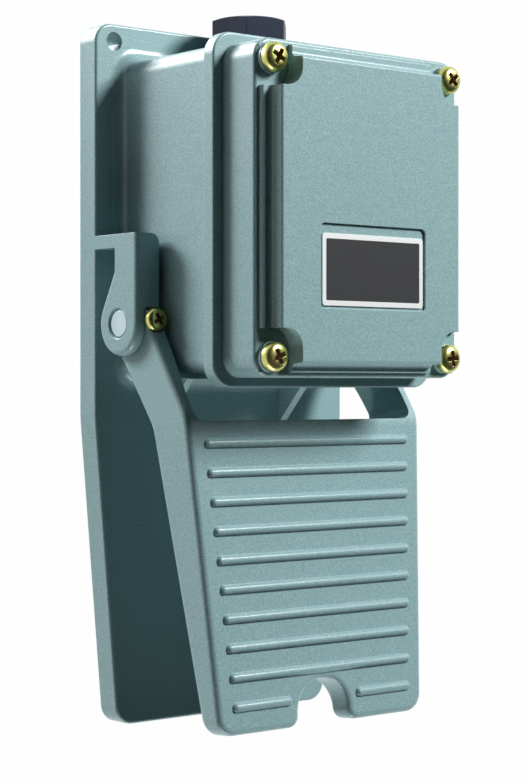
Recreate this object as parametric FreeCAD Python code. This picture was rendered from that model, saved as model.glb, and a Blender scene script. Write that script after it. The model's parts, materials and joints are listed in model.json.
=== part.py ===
import FreeCAD, Part
import math
import os

# Industrial foot switch: a ribbed pedal on a shaft that runs through a cast housing.
# Millimetres. X runs across the pedal, Y from the pedal's free end to the cable end, Z up.
# Every Y below is measured from the pedal end of the base. The finished pieces are moved
# so that the origin lies under the middle of the whole switch, on the surface it stands on.

# Contact box, cast in one piece with the base
BOX_WIDTH = 94.0
BOX_LENGTH = 113.6
BOX_Y0 = 123.9
BOX_WALL = 3.4
BOX_CORNER_R = 6.0
BOX_INNER_CORNER_R = 4.1
BOX_FOOT_R = 5.0
FLANGE_LIP_X = 3.75
FLANGE_LIP_Y0 = 3.0
FLANGE_LIP_Y1 = 3.2
FLANGE_Z0 = 61.5
FLANGE_Z1 = 67.2
FLANGE_CORNER_R = 8.0
FLANGE_EDGE_R = 0.8
GUSSET_X = 28.0
GUSSET_T = 3.2
GUSSET_RUN = 16.5
GUSSET_RISE = 15.6

# Clearances, and how far a cutting tool runs past the face that it cuts
SCREW_CLEAR = 0.05
SCREW_PASS = 0.25
SHAFT_FIT = 0.02
SHAFT_CLEAR = 0.06
SEAL_CLEAR = 0.05
SLIDE_CLEAR = 0.1
REACH_GAP = 0.3
CONTACT_GAP = 0.3
THREAD_SPARE = 1.0
OVERCUT = 1.0

# Shaft, and what lies along it from the box wall outwards
SHAFT_D = 10.0
SHAFT_SETBACK = 19.3
SHAFT_Z = 22.8
SHAFT_RECESS = 0.5
SHAFT_CHAMFER = 0.5
WALL_PAD_R = 8.0
WALL_PAD_H = 1.5
WALL_HOLE_CLEAR = 0.5
EAR_GAP = 0.3
EAR_THICK = 5.6
CHEEK_GAP = 0.3
LUG_CHEEK = 3.6
LUG_STAND_OFF = 1.6
LUG_BOSS_R = 11.2
LUG_TOP = 31.3
LUG_WEB = 4.8
LUG_BACK_Z = 21.2
LUG_SHOULDER = 20.5
LUG_CORNER_R = 3.4
LUG_EDGE_R = 1.8
LUG_RELIEF_R = 12.4
LUG_BORE_CHAMFER = 0.5
INNER_BOSS_R = 10.0
INNER_BOSS_H = 6.0

# Base plate
BASE_TAIL = 13.0
BASE_TOE_NARROWING = 9.5
BASE_TAPER = 33.2
BASE_BEND_R = 60.0
BASE_HEIGHT = 9.6
BASE_SKIN = 4.0
BASE_RIM = 4.0
BASE_CORNER_R = 7.0
BASE_EDGE_R = 1.0
TRAY_RIB = 3.0
TRAY_RIB_FRONT = 55.0
TRAY_RIB_REAR = 55.0
MOUNT_HOLE_D = 6.6
MOUNT_HOLE_SIDE = 8.0
MOUNT_HOLE_END = 6.3
MOUNT_BOSS_D = 13.0
TOE_HOLE_Y = 12.0
TOE_BOSS_D = 15.0

# Lid: rim, step, ledge, cove and crown
LID_INSET_X = 0.25
LID_INSET_Y0 = 0.3
LID_INSET_Y1 = 0.5
LID_RIM_Z = 84.0
LID_CORNER_R = 7.0
LID_EDGE_R = 1.2
LID_WALL = 3.4
LID_HOLLOW_INSET = 0.4
STEP_INSET = 1.75
STEP_Z = 86.0
LEDGE_X = 3.9
LEDGE_Y0 = 3.25
LEDGE_Y1 = 4.5
LEDGE_EDGE_R = 0.8
COVE_R = 1.8
CROWN_Z = 91.5
CROWN_EDGE_R = 0.9
CROWN_DRAFT = 0.5
NOTCH_WIDTH_X = 14.55
NOTCH_DEPTH_Y = 16.4
NOTCH_R = 6.8
SEAT_BOSS_D = 10.4
SEAT_BOSS_H = 1.5
LID_SCREW_INSET_X = 6.4
LID_SCREW_INSET_Y = 6.9
LID_POST_D = 11.6
GASKET_WIDTH = 2.6
GASKET_HEIGHT = 2.0

# Rating plate, left blank
PLATE_WIDTH = 46.8
PLATE_HEIGHT = 24.4
PLATE_THICK = 0.6
PLATE_CORNER_R = 1.2
PLATE_INSET_Y = 19.1
RECESS_MARGIN = 0.9
RECESS_HEIGHT = 28.6
RECESS_DEPTH = 0.9
RECESS_CORNER_R = 1.8

# Screws: shapes are shares of the head, and of the shank for the tip
SCREW_TIP = 0.15
HEAD_SIDE = 0.4
HEAD_SHOULDER = (0.86, 0.75)
HEAD_TOP = 0.55
RECESS_WING = 0.30
RECESS_FLOOR = 0.135
RECESS_SLOT = 0.075
SCREW_RECESS_DEPTH = 0.72
SLOT_WIDTH = 0.18
SLOT_DEPTH = 0.45
LID_SCREW_D = 5.0
LID_SCREW_HEAD_D = 10.0
LID_SCREW_HEAD_H = 3.7
LID_SCREW_LENGTH = 25.0
LID_SCREW_TURN = 37.0
LID_THREAD_SPARE = 3.0

# Pedal, measured from the shaft's axis in the pedal's own frame
REST_TILT_DEG = 4.9
PEDAL_TOP = 31.6
PEDAL_SKIN = 3.8
PEDAL_WALL = 3.8
PEDAL_REACH0 = 36.5
PEDAL_TOE_REACH = 0.2
PEDAL_TOE_NARROWING = 7.4
PEDAL_CORNER_R = 6.8
PEDAL_INNER_R = 3.0
PEDAL_EDGE_R = 2.2
PEDAL_HEEL_DEPTH = 20.6
PEDAL_TOE_DEPTH = 9.9
ARM_STEP_X = 1.6
ARM_TAPER = 9.0
ARM_SLOPE_DEG = 29.0
ARM_BACK_SLOPE_DEG = 32.0
ARM_FRONT_R = 14.0
ARM_BACK_R = 10.0
ARM_CORNER_R = 4.0
EAR_R = 10.4
TREAD_FIRST = 44.2
TREAD_END_ROOM = 7.0
TREAD_PITCH = 9.97
TREAD_WIDTH = 3.4
TREAD_RISE = 1.4
TREAD_INSET = 6.3
TREAD_SPLIT_HALF = 15.0
TOE_NOTCH_R = 11.5
TOE_NOTCH_DEPTH = 15.8
TOE_NOTCH_LIP_R = 4.0
TOE_NOTCH_INNER_R = 1.0
BACK_RIB_X = 20.0
BACK_RIB_T = 3.0
BACK_RIB_H = 6.0
LOCK_SEAT = 12.9
LOCK_PAD_LENGTH = 7.0
LOCK_SPOT_CLEAR = 0.35
LOCK_SCREW_D = 4.0
LOCK_HEAD_D = 8.4
LOCK_HEAD_H = 2.7
LOCK_BITE = 2.0
DIMPLE_SPARE = 0.2

# Bushes and seals of the shaft, in the box walls
BUSH_D = 14.0
SEAL_LENGTH = 2.6
SEAL_SETBACK = 1.0

# Lever on the shaft inside the box
LEVER_HUB_R = 9.5
LEVER_HUB_WIDTH = 18.0
LEVER_ARM_WIDTH = 14.0
LEVER_ARM_THICK = 8.0
LEVER_REACH = 36.0
NOSE_R = 4.0
LEVER_SCREW_D = 5.0
LEVER_SCREW_SUNK = 0.3
KEY_ACROSS = 2.5
KEY_DEPTH = 2.2
SPIGOT_R = 3.8
SPIGOT_H = 3.0

# Return spring over the lever arm
SPRING_REACH = 16.0
SPRING_D = 14.0
SPRING_WIRE = 1.8
SPRING_TURNS = 5.5
SPRING_CLOSED_PITCH = 1.06
GUIDE_R = 3.8
GUIDE_HEAD_R = 4.8
GUIDE_HEAD_H = 1.5
GUIDE_DROP = 13.4

# Bracket on four pillars
PILLAR_X = 25.0
PILLAR_NEAR = 13.3
PILLAR_FAR = 59.3
PILLAR_D = 10.0
PILLAR_TOP = 46.0
BRACKET_T = 2.5
BRACKET_MARGIN = 6.0
BRACKET_CORNER_R = 4.0
M4_D = 4.0
M4_HEAD_D = 7.6
M4_HEAD_H = 2.6
M4_LENGTH = 12.0
M4_PROUD = 1.0
STOP_POST_D = 12.0
STOP_REACH = 29.0
BUFFER_D = 10.0
BUFFER_H = 3.0

# Contact block on the bracket
BLOCK_HALF_X = 22.0
BLOCK_HALF_Y = 13.0
BLOCK_HEIGHT = 26.0
CHAMBER_HALF_X = 18.0
CHAMBER_HALF_Y = 9.5
BLOCK_FLOOR = 6.0
BLOCK_COVER_T = 2.5
BLOCK_COVER_EDGE_R = 1.0
LOW_LEDGE_X = 35.0
HIGH_LEDGE_X = 28.4
TAB_X = 13.0
TAB_WIDTH = 9.0
TAB_LENGTH = 7.6
TAB_LAP = 0.5
TAB_T = 3.0
STRIP_WIDTH = 6.0
STRIP_T = 1.2
STRIP_LIFT = 1.0
STRIP_LAP = 0.5
TIP_R = 2.2
TIP_T = 1.0
TIP_X = 13.0
STEM_R = 4.0
STEM_TIP_R = 1.0
STEM_PASS = 1.0
PIN_R = 2.5
PIN_LENGTH = 7.0
BRIDGE_T = 1.0
BRIDGE_LENGTH = 31.0
BRIDGE_WIDTH = 7.0
TERMINAL_D = 3.5
TERMINAL_HEAD_D = 6.2
TERMINAL_HEAD_H = 2.2
TERMINAL_LENGTH = 6.0
TERMINAL_PASS = 0.15
COVER_SCREW_D = 2.5
COVER_HEAD_D = 4.4
COVER_HEAD_H = 1.6
COVER_SCREW_LENGTH = 8.0
COVER_SCREW_X = 20.0
COVER_SCREW_Y = 9.0
PLUNGER_SPRING_D = 8.4
PLUNGER_SPRING_WIRE = 0.8
PLUNGER_SPRING_TURNS = 6.5

# Travel
PEDAL_TRAVEL_DEG = 7.0

# Cable gland on a round pad of the end wall
GLAND_Z = 24.3
GLAND_PAD_R = 15.6
GLAND_PAD_H = 3.5
GLAND_THREAD_D = 20.0
GLAND_BORE_D = 13.0
GLAND_MOUTH_D = 10.0
GLAND_HEX = 26.0
GLAND_TURN_DEG = 46.6
GLAND_GASKET_D = 25.0
GLAND_GASKET_T = 1.2
GLAND_COLLAR = 5.0
GLAND_NUT_H = 7.8
GLAND_NECK_D = 18.0
GLAND_NECK_LENGTH = 5.0
GLAND_COLLAR_CHAMFER = 0.1
GLAND_NUT_CHAMFER = 0.5
GLAND_CHAMFER_DEG = 20.0
GLAND_SHANK = 15.0
LOCKNUT_T = 4.0
LOCKNUT_HEX = 26.0
GLAND_BUSH_LENGTH = 11.0
GLAND_END_WALL = 2.5
CABLE_HOLE_D = 8.0

# Earth terminal on the box floor
EARTH_FROM_WALL = 21.5
EARTH_BOSS_D = 11.0
EARTH_BOSS_H = 8.0
EARTH_SCREW_D = 5.0
EARTH_HEAD_D = 9.5
EARTH_HEAD_H = 3.4
EARTH_LENGTH = 10.0
EARTH_WASHER_D = 10.4
EARTH_WASHER_T = 1.0

# Places across the switch that follow from the sizes above
BOX_INNER_X = BOX_WIDTH / 2 - BOX_WALL
EAR_INNER_X = BOX_WIDTH / 2 + WALL_PAD_H + EAR_GAP
EAR_OUTER_X = EAR_INNER_X + EAR_THICK
EAR_MID_X = (EAR_OUTER_X + EAR_INNER_X) / 2
CHEEK_INNER_X = EAR_OUTER_X + CHEEK_GAP
LUG_OUTER_X = CHEEK_INNER_X + LUG_CHEEK
LUG_INNER_X = BOX_WIDTH / 2 + LUG_STAND_OFF
PEDAL_WIDTH = 2 * EAR_OUTER_X
ARM_INNER_X = EAR_INNER_X + ARM_STEP_X
BASE_WIDTH = 2 * LUG_OUTER_X
MOUNT_HOLE_X = BASE_WIDTH / 2 - MOUNT_HOLE_SIDE
FLANGE_WIDTH = BOX_WIDTH + 2 * FLANGE_LIP_X
LID_WIDTH = BOX_WIDTH - 2 * LID_INSET_X
LID_SCREW_X = LID_WIDTH / 2 - LID_SCREW_INSET_X

# Places along it
BOX_Y1 = BOX_Y0 + BOX_LENGTH
BASE_LENGTH = BOX_Y1 + BASE_TAIL
SHAFT_Y = BOX_Y0 + SHAFT_SETBACK
LUG_TOP_Y = SHAFT_Y + LUG_TOP
LUG_SHOULDER_Y = SHAFT_Y + LUG_SHOULDER
BASE_TAPER_END = SHAFT_Y - BASE_TAPER
MOUNT_HOLE_Y = BASE_LENGTH - MOUNT_HOLE_END
FLANGE_Y0 = BOX_Y0 - FLANGE_LIP_Y0
FLANGE_Y1 = BOX_Y1 + FLANGE_LIP_Y1
LID_Y0 = BOX_Y0 + LID_INSET_Y0
LID_Y1 = BOX_Y1 - LID_INSET_Y1
LID_SCREW_Y = (LID_Y0 + LID_SCREW_INSET_Y, LID_Y1 - LID_SCREW_INSET_Y)
STEP_Y0 = LID_Y0 + STEP_INSET
STEP_Y1 = LID_Y1 - STEP_INSET
PLATE_Y0 = STEP_Y0 + LEDGE_Y0 + PLATE_INSET_Y
PEDAL_REACH1 = SHAFT_Y + PEDAL_TOE_REACH
PILLAR_Y = (SHAFT_Y + PILLAR_NEAR, SHAFT_Y + PILLAR_FAR)
SPRING_Y = SHAFT_Y + SPRING_REACH
NOSE_Y = SHAFT_Y + LEVER_REACH
EARTH_Y = BOX_Y1 - EARTH_FROM_WALL
GLAND_FACE_Y = BOX_Y1 + GLAND_PAD_H
GLAND_WALL = BOX_WALL + GLAND_PAD_H
GLAND_END = GLAND_FACE_Y + GLAND_GASKET_T + GLAND_COLLAR + GLAND_NUT_H
OVERALL_LENGTH = max(BASE_LENGTH, GLAND_END)

# Heights
LUG_FRONT_Z = SHAFT_Z + LUG_BOSS_R
LID_SEAT_Z = LID_RIM_Z + SEAT_BOSS_H
LEVER_TOP_Z = SHAFT_Z + LEVER_ARM_THICK / 2
LEVER_UNDER_Z = SHAFT_Z - LEVER_ARM_THICK / 2
NOSE_TOP_Z = SHAFT_Z + NOSE_R
STOP_POST_TOP = LEVER_UNDER_Z - REACH_GAP - BUFFER_H
SHAFT_DIMPLE_Z = SHAFT_Z + SHAFT_D / 2 - LOCK_BITE
BRACKET_TOP = PILLAR_TOP + BRACKET_T
PLUNGER_TRAVEL = LEVER_REACH * math.sin(math.radians(PEDAL_TRAVEL_DEG))
LOW_STRIP_Z = BRACKET_TOP + BLOCK_FLOOR + STRIP_LIFT
STEM_TOP = LOW_STRIP_Z + STRIP_T + TIP_T + CONTACT_GAP + TIP_T
HIGH_STRIP_Z = STEM_TOP + BRIDGE_T + TIP_T + PLUNGER_TRAVEL + CONTACT_GAP + TIP_T
BLOCK_TOP = BRACKET_TOP + BLOCK_HEIGHT


def vec(x, y, z):
    return FreeCAD.Vector(x, y, z)


X_AXIS = vec(1, 0, 0)
Y_AXIS = vec(0, 1, 0)
Z_AXIS = vec(0, 0, 1)


def cyl(r, start, length, axis):
    return Part.makeCylinder(r, length, start, axis)


def cyl_x(r, x0, x1, y, z):
    return cyl(r, vec(x0, y, z), x1 - x0, X_AXIS)


def cyl_z(r, x, y, z0, z1):
    return cyl(r, vec(x, y, z0), z1 - z0, Z_AXIS)


def block(x0, x1, y0, y1, z0, z1):
    return Part.makeBox(x1 - x0, y1 - y0, z1 - z0, vec(x0, y0, z0))


def fuse(shapes):
    shapes = list(shapes)
    return shapes[0].multiFuse(shapes[1:]) if len(shapes) > 1 else shapes[0]


def both_sides(shape):
    """The shape and its mirror image in the plane X = 0."""
    return [shape, shape.mirror(vec(0, 0, 0), X_AXIS)]


def turned(points, radii, lift=0.0):
    """A flat face in XY from a polygon whose corners are rounded by the given radii."""
    count = len(points)
    edges = []
    starts = []
    ends = []
    mids = []
    for i, (px, py) in enumerate(points):
        ax, ay = points[i - 1]
        bx, by = points[(i + 1) % count]
        la = math.hypot(ax - px, ay - py)
        lb = math.hypot(bx - px, by - py)
        ua = ((ax - px) / la, (ay - py) / la)
        ub = ((bx - px) / lb, (by - py) / lb)
        corner = vec(px, py, lift)
        if radii[i] <= 0:
            starts.append(corner)
            ends.append(corner)
            mids.append(None)
            continue
        half = math.acos(max(-1.0, min(1.0, ua[0] * ub[0] + ua[1] * ub[1]))) / 2
        cut = radii[i] / math.tan(half)
        bis = (ua[0] + ub[0], ua[1] + ub[1])
        blen = math.hypot(*bis)
        away = radii[i] / math.sin(half) - radii[i]
        starts.append(vec(px + ua[0] * cut, py + ua[1] * cut, lift))
        ends.append(vec(px + ub[0] * cut, py + ub[1] * cut, lift))
        mids.append(vec(px + bis[0] / blen * away, py + bis[1] / blen * away, lift))
    for i in range(count):
        if mids[i] is not None:
            edges.append(Part.Arc(starts[i], mids[i], ends[i]).toShape())
        following = starts[(i + 1) % count]
        if ends[i].distanceToPoint(following) > 1e-6:
            edges.append(Part.LineSegment(ends[i], following).toShape())
    return Part.Face(Part.Wire(edges))


def prism(points, radii, z0, z1):
    if not isinstance(radii, (list, tuple)):
        radii = [radii] * len(points)
    return turned(points, radii, z0).extrude(vec(0, 0, z1 - z0))


def rect(half_x, y0, y1):
    return [(-half_x, y0), (half_x, y0), (half_x, y1), (-half_x, y1)]


def side_prism(points, radii, x0, x1):
    """A prism along X; its points are (Y, Z) pairs."""
    if not isinstance(radii, (list, tuple)):
        radii = [radii] * len(points)
    shape = turned(points, radii).extrude(vec(0, 0, x1 - x0))
    shape.rotate(vec(0, 0, 0), vec(1, 1, 1), 120)
    shape.translate(vec(x0, 0, 0))
    return shape


def edges_where(shape, test):
    chosen = []
    for edge in shape.Edges:
        if test(edge.BoundBox, edge):
            chosen.append(edge)
    return chosen


def hexagon(across, turn_deg):
    r = across / math.sqrt(3)
    turns = [math.radians(60 * i + turn_deg) for i in range(6)]
    return [(r * math.cos(a), r * math.sin(a)) for a in turns]


def revolved(profile):
    """Turns a closed (radius, z) outline about the Z axis."""
    points = [vec(r, 0, z) for r, z in profile]
    return Part.Face(Part.makePolygon(points + points[:1])).revolve(vec(0, 0, 0), Z_AXIS, 360)


def pan_screw(d, head_d, head_h, length):
    """Cross-recessed pan-head screw: seat at the origin, head towards +Z."""
    r = head_d / 2
    tip = d * SCREW_TIP
    profile = [(0, -length), (d / 2 - tip, -length), (d / 2, tip - length), (d / 2, 0), (r, 0)]
    shoulder = (r * HEAD_SHOULDER[0], head_h * HEAD_SHOULDER[1])
    profile += [(r, head_h * HEAD_SIDE), shoulder, (r * HEAD_TOP, head_h), (0, head_h)]
    body = revolved(profile)
    wing = head_d * RECESS_WING
    half_slot = head_d * RECESS_SLOT
    depth = head_h * SCREW_RECESS_DEPTH
    floor = head_d * RECESS_FLOOR
    blade = [(-wing, head_h + OVERCUT), (-wing, head_h), (-floor, head_h - depth)]
    blade += [(-y, z) for y, z in reversed(blade)]
    cross = side_prism(blade, 0, -half_slot, half_slot)
    other = cross.copy()
    other.rotate(vec(0, 0, 0), Z_AXIS, 90)
    return body.cut(cross.fuse(other))


def slotted_screw(d, head_d, head_h, length):
    """Plain cheese-head screw with one slot, as used inside the box."""
    tip = d * SCREW_TIP
    profile = [(0, -length), (d / 2 - tip, -length), (d / 2, tip - length), (d / 2, 0)]
    profile += [(head_d / 2, 0), (head_d / 2, head_h), (0, head_h)]
    half_slot = head_d * SLOT_WIDTH / 2
    slot = block(-head_d, head_d, -half_slot, half_slot, head_h * (1 - SLOT_DEPTH), head_h + OVERCUT)
    return revolved(profile).cut(slot)


def coil(d, wire, turns, length):
    """Compression spring from z = 0 up to z = length, with one closed turn at each end.

    Each half turn is an arc in a plane that tilts with the rise, so that the arcs meet level.
    """
    mean_r = (d - wire) / 2
    closed = wire * SPRING_CLOSED_PITCH / 2
    halves = int(2 * turns)
    opened = (length - wire - 4 * closed) / (halves - 4)
    z = wire / 2
    arcs = []
    for i in range(halves):
        side = 1 if i % 2 == 0 else -1
        rise = closed if i < 2 or i >= halves - 2 else opened
        start = vec(side * mean_r, 0, z)
        section = Part.Face(Part.Wire(Part.makeCircle(wire / 2, start, Y_AXIS)))
        arcs.append(section.revolve(vec(0, 0, z + rise / 2), vec(side * rise, 0, 2 * mean_r), 180))
        z += rise
    return fuse(arcs).removeSplitter()


def base_plan(inset):
    """Outline of the base and its corner radii, shrunk all round by inset."""
    half = BASE_WIDTH / 2 - inset
    toe = half - BASE_TOE_NARROWING
    top = BASE_TAPER_END
    end = BASE_LENGTH - inset
    outline = [(-toe, inset), (toe, inset), (half, top), (half, end), (-half, end), (-half, top)]
    corner = BASE_CORNER_R - inset
    bend = BASE_BEND_R - inset
    return outline, [corner, corner, bend, corner, corner, bend]


def base_plate():
    plate = prism(*base_plan(0), 0, BASE_HEIGHT)
    rim_top = edges_where(plate, lambda b, e: b.ZMin > BASE_HEIGHT - 0.01)
    return plate.makeFillet(BASE_EDGE_R, rim_top)


def contact_box():
    """Outside of the box, its foot radius and the flange that carries the lid."""
    outline = rect(BOX_WIDTH / 2, BOX_Y0, BOX_Y1)
    walls = prism(outline, BOX_CORNER_R, BASE_HEIGHT - OVERCUT, FLANGE_Z0 + OVERCUT)
    plate = base_plate().fuse(walls)
    outer_y = (BOX_Y0 - 0.01, BOX_Y1 + 0.01)
    foot = edges_where(plate, lambda b, e: abs(b.ZMin - BASE_HEIGHT) < 0.01
                       and abs(b.ZMax - BASE_HEIGHT) < 0.01
                       and b.YMin > outer_y[0] and b.YMax < outer_y[1]
                       and b.XMax < BOX_WIDTH / 2 + 0.01 and b.XMin > -BOX_WIDTH / 2 - 0.01)
    plate = plate.makeFillet(BOX_FOOT_R, foot)
    outline = rect(FLANGE_WIDTH / 2, FLANGE_Y0, FLANGE_Y1)
    flange = prism(outline, FLANGE_CORNER_R, FLANGE_Z0, FLANGE_Z1)
    flange = flange.makeFillet(FLANGE_EDGE_R, edges_where(flange, lambda b, e: b.ZLength < 0.01))
    return plate.fuse(flange)


def tray_pocket():
    """Hollow under the base, open downwards and crossed by ribs."""
    depth = BASE_HEIGHT - BASE_SKIN
    half = BASE_WIDTH / 2
    z = (-2 * OVERCUT, depth + OVERCUT)
    pocket = prism(*base_plan(BASE_RIM), -OVERCUT, depth)
    keep = [block(-half, half, y - TRAY_RIB / 2, y + TRAY_RIB / 2, *z)
            for y in (TRAY_RIB_FRONT, BOX_Y0 + BOX_WALL / 2, BOX_Y1 - TRAY_RIB_REAR)]
    keep.append(block(-TRAY_RIB / 2, TRAY_RIB / 2, 0, BASE_LENGTH, *z))
    for x in (-MOUNT_HOLE_X, MOUNT_HOLE_X):
        keep.append(cyl_z(MOUNT_BOSS_D / 2, x, MOUNT_HOLE_Y, *z))
    keep.append(cyl_z(TOE_BOSS_D / 2, 0, TOE_HOLE_Y, *z))
    return pocket.cut(fuse(keep))


def tangent_point(px, py, cx, cy, r, side):
    """Where the line from a point touches a circle, on the given side of the centre."""
    dx = px - cx
    dy = py - cy
    base = math.atan2(dy, dx)
    spread = math.acos(r / math.hypot(dx, dy))
    a = base + side * spread
    return (cx + r * math.cos(a), cy + r * math.sin(a))


def lug():
    """Lug on the +X side: a web from the base, a post and a cheek round the shaft's end."""
    touch = tangent_point(LUG_SHOULDER_Y, LUG_BACK_Z, SHAFT_Y, SHAFT_Z, LUG_BOSS_R, -1)
    post = [(SHAFT_Y, LUG_FRONT_Z), (SHAFT_Y, SHAFT_Z), touch, (LUG_SHOULDER_Y, LUG_BACK_Z)]
    post += [(LUG_TOP_Y - LUG_WEB, LUG_BACK_Z), (LUG_TOP_Y, LUG_BACK_Z), (LUG_TOP_Y, LUG_FRONT_Z)]
    web = [(LUG_TOP_Y - LUG_WEB, BASE_EDGE_R), (LUG_TOP_Y, BASE_EDGE_R)]
    web += [(LUG_TOP_Y, LUG_BACK_Z + OVERCUT), (LUG_TOP_Y - LUG_WEB, LUG_BACK_Z + OVERCUT)]
    span = (LUG_INNER_X, LUG_OUTER_X)
    whole = side_prism(post, 0, *span).fuse(side_prism(web, 0, *span))
    whole = whole.fuse(cyl_x(LUG_BOSS_R, *span, SHAFT_Y, SHAFT_Z)).removeSplitter()
    corner = edges_where(whole, lambda b, e: abs(b.XMax - LUG_INNER_X) < 0.01
                         and b.XLength < 0.01 and b.YMin > LUG_TOP_Y - 0.01
                         and b.ZMax > LUG_FRONT_Z - 0.01)
    whole = whole.makeFillet(LUG_CORNER_R, corner)
    front = edges_where(whole, lambda b, e: b.XMin > LUG_OUTER_X - 0.01
                        and b.ZMin > LUG_FRONT_Z - 0.01 and b.YLength > LUG_WEB)
    whole = whole.makeFillet(LUG_EDGE_R, front)
    relief = cyl_x(LUG_RELIEF_R, LUG_INNER_X - OVERCUT, CHEEK_INNER_X, SHAFT_Y, SHAFT_Z)
    below = block(LUG_INNER_X - OVERCUT, CHEEK_INNER_X, 0, SHAFT_Y, 0, FLANGE_Z1)
    bore = cyl_x(SHAFT_D / 2 + SHAFT_CLEAR, LUG_INNER_X, LUG_OUTER_X + OVERCUT, SHAFT_Y, SHAFT_Z)
    mouth_r = SHAFT_D / 2 + SHAFT_CLEAR + LUG_BORE_CHAMFER
    mouth = Part.makeCone(mouth_r - LUG_BORE_CHAMFER, mouth_r, LUG_BORE_CHAMFER,
                          vec(LUG_OUTER_X - LUG_BORE_CHAMFER, SHAFT_Y, SHAFT_Z), X_AXIS)
    return whole.cut(fuse([relief, below, bore, mouth]))


def gusset():
    low = BASE_HEIGHT - OVERCUT
    points = [(BOX_Y0 + OVERCUT, low), (BOX_Y0 + OVERCUT, BASE_HEIGHT + GUSSET_RISE)]
    points += [(BOX_Y0, BASE_HEIGHT + GUSSET_RISE), (BOX_Y0 - GUSSET_RUN, BASE_HEIGHT)]
    points.append((BOX_Y0 - GUSSET_RUN, low))
    return side_prism(points, 0, GUSSET_X - GUSSET_T / 2, GUSSET_X + GUSSET_T / 2)


def housing():
    """One casting: base, box with flange and gland pad, two gussets and the two lugs."""
    outside = contact_box().fuse(both_sides(gusset()) + both_sides(lug()))
    pad = cyl_x(WALL_PAD_R, BOX_INNER_X, BOX_WIDTH / 2 + WALL_PAD_H, SHAFT_Y, SHAFT_Z)
    start = vec(0, BOX_Y1 - OVERCUT, GLAND_Z)
    gland_pad = cyl(GLAND_PAD_R, start, GLAND_PAD_H + OVERCUT, Y_AXIS)
    outside = outside.fuse(both_sides(pad) + [gland_pad])
    shell = outside.cut(box_hollow().fuse(tray_pocket()))
    return shell.cut(fuse(housing_cuts())).removeSplitter()


def box_hollow():
    """Room inside the box, less the posts and bosses that stand in it."""
    inner = rect(BOX_INNER_X, BOX_Y0 + BOX_WALL, BOX_Y1 - BOX_WALL)
    hollow = prism(inner, BOX_INNER_CORNER_R, BASE_HEIGHT, FLANGE_Z1 + OVERCUT)
    foot = BASE_HEIGHT - OVERCUT
    kept = [cyl_z(LID_POST_D / 2, x, y, foot, FLANGE_Z1) for x, y in lid_screw_places()]
    kept += [cyl_z(PILLAR_D / 2, x, y, foot, PILLAR_TOP) for x, y in pillar_places()]
    kept.append(cyl_z(STOP_POST_D / 2, 0, SHAFT_Y + STOP_REACH, foot, STOP_POST_TOP))
    kept.append(cyl_z(EARTH_BOSS_D / 2, 0, EARTH_Y, foot, BASE_HEIGHT + EARTH_BOSS_H))
    boss = cyl_x(INNER_BOSS_R, bush_start(), BOX_INNER_X + OVERCUT, SHAFT_Y, SHAFT_Z)
    return hollow.cut(fuse(kept + both_sides(boss)))


def housing_cuts():
    """Gasket rebate, tapped holes, shaft bores, cable entry and bolt holes."""
    tap = LID_SCREW_D / 2 + SCREW_CLEAR
    deep = LID_SCREW_LENGTH + LID_THREAD_SPARE - (LID_SEAT_Z - FLANGE_Z1)
    cuts = [gasket_ring(0)]
    cuts += [cyl_z(tap, x, y, FLANGE_Z1 - deep, FLANGE_Z1 + OVERCUT) for x, y in lid_screw_places()]
    bottom = PILLAR_TOP + BRACKET_T - M4_LENGTH - THREAD_SPARE
    cuts += [cyl_z(M4_D / 2 + SCREW_CLEAR, x, y, bottom, PILLAR_TOP + OVERCUT) for x, y in pillar_places()]
    top = BASE_HEIGHT + EARTH_BOSS_H
    bottom = top + EARTH_WASHER_T - EARTH_LENGTH - THREAD_SPARE
    cuts.append(cyl_z(EARTH_SCREW_D / 2 + SCREW_CLEAR, 0, EARTH_Y, bottom, top + OVERCUT))
    cuts += both_sides(cyl_x(BUSH_D / 2, bush_start(), seal_end(), SHAFT_Y, SHAFT_Z))
    reach = BOX_WIDTH / 2 + WALL_PAD_H + OVERCUT
    shaft_hole = cyl_x(SHAFT_D / 2 + WALL_HOLE_CLEAR, BOX_INNER_X, reach, SHAFT_Y, SHAFT_Z)
    cuts += both_sides(shaft_hole)
    inside = vec(0, GLAND_FACE_Y - GLAND_WALL - OVERCUT, GLAND_Z)
    cuts.append(cyl(GLAND_THREAD_D / 2 + SCREW_CLEAR, inside, GLAND_WALL + 2 * OVERCUT, Y_AXIS))
    for x, y in ((-MOUNT_HOLE_X, MOUNT_HOLE_Y), (MOUNT_HOLE_X, MOUNT_HOLE_Y), (0, TOE_HOLE_Y)):
        cuts.append(cyl_z(MOUNT_HOLE_D / 2, x, y, -OVERCUT, BASE_HEIGHT + OVERCUT))
    return cuts


def lid_screw_places():
    return [(x, y) for x in (-LID_SCREW_X, LID_SCREW_X) for y in LID_SCREW_Y]


def pillar_places():
    return [(x, y) for x in (-PILLAR_X, PILLAR_X) for y in PILLAR_Y]


def bush_start():
    return BOX_INNER_X - INNER_BOSS_H


def seal_end():
    return BOX_WIDTH / 2 + WALL_PAD_H - SEAL_SETBACK


def gasket_ring(slack):
    """Seat of the gasket, a rebate round the mouth of the box; slack makes a looser ring."""
    y0 = BOX_Y0 + BOX_WALL
    y1 = BOX_Y1 - BOX_WALL
    w = GASKET_WIDTH - slack
    r = BOX_INNER_CORNER_R
    outline = rect(BOX_INNER_X + w, y0 - w, y1 + w)
    outer = prism(outline, r + w, FLANGE_Z1 - GASKET_HEIGHT, FLANGE_Z1)
    inner = rect(BOX_INNER_X + slack, y0 - slack, y1 + slack)
    return outer.cut(prism(inner, r + slack, FLANGE_Z1 - GASKET_HEIGHT - OVERCUT, FLANGE_Z1 + OVERCUT))


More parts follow.
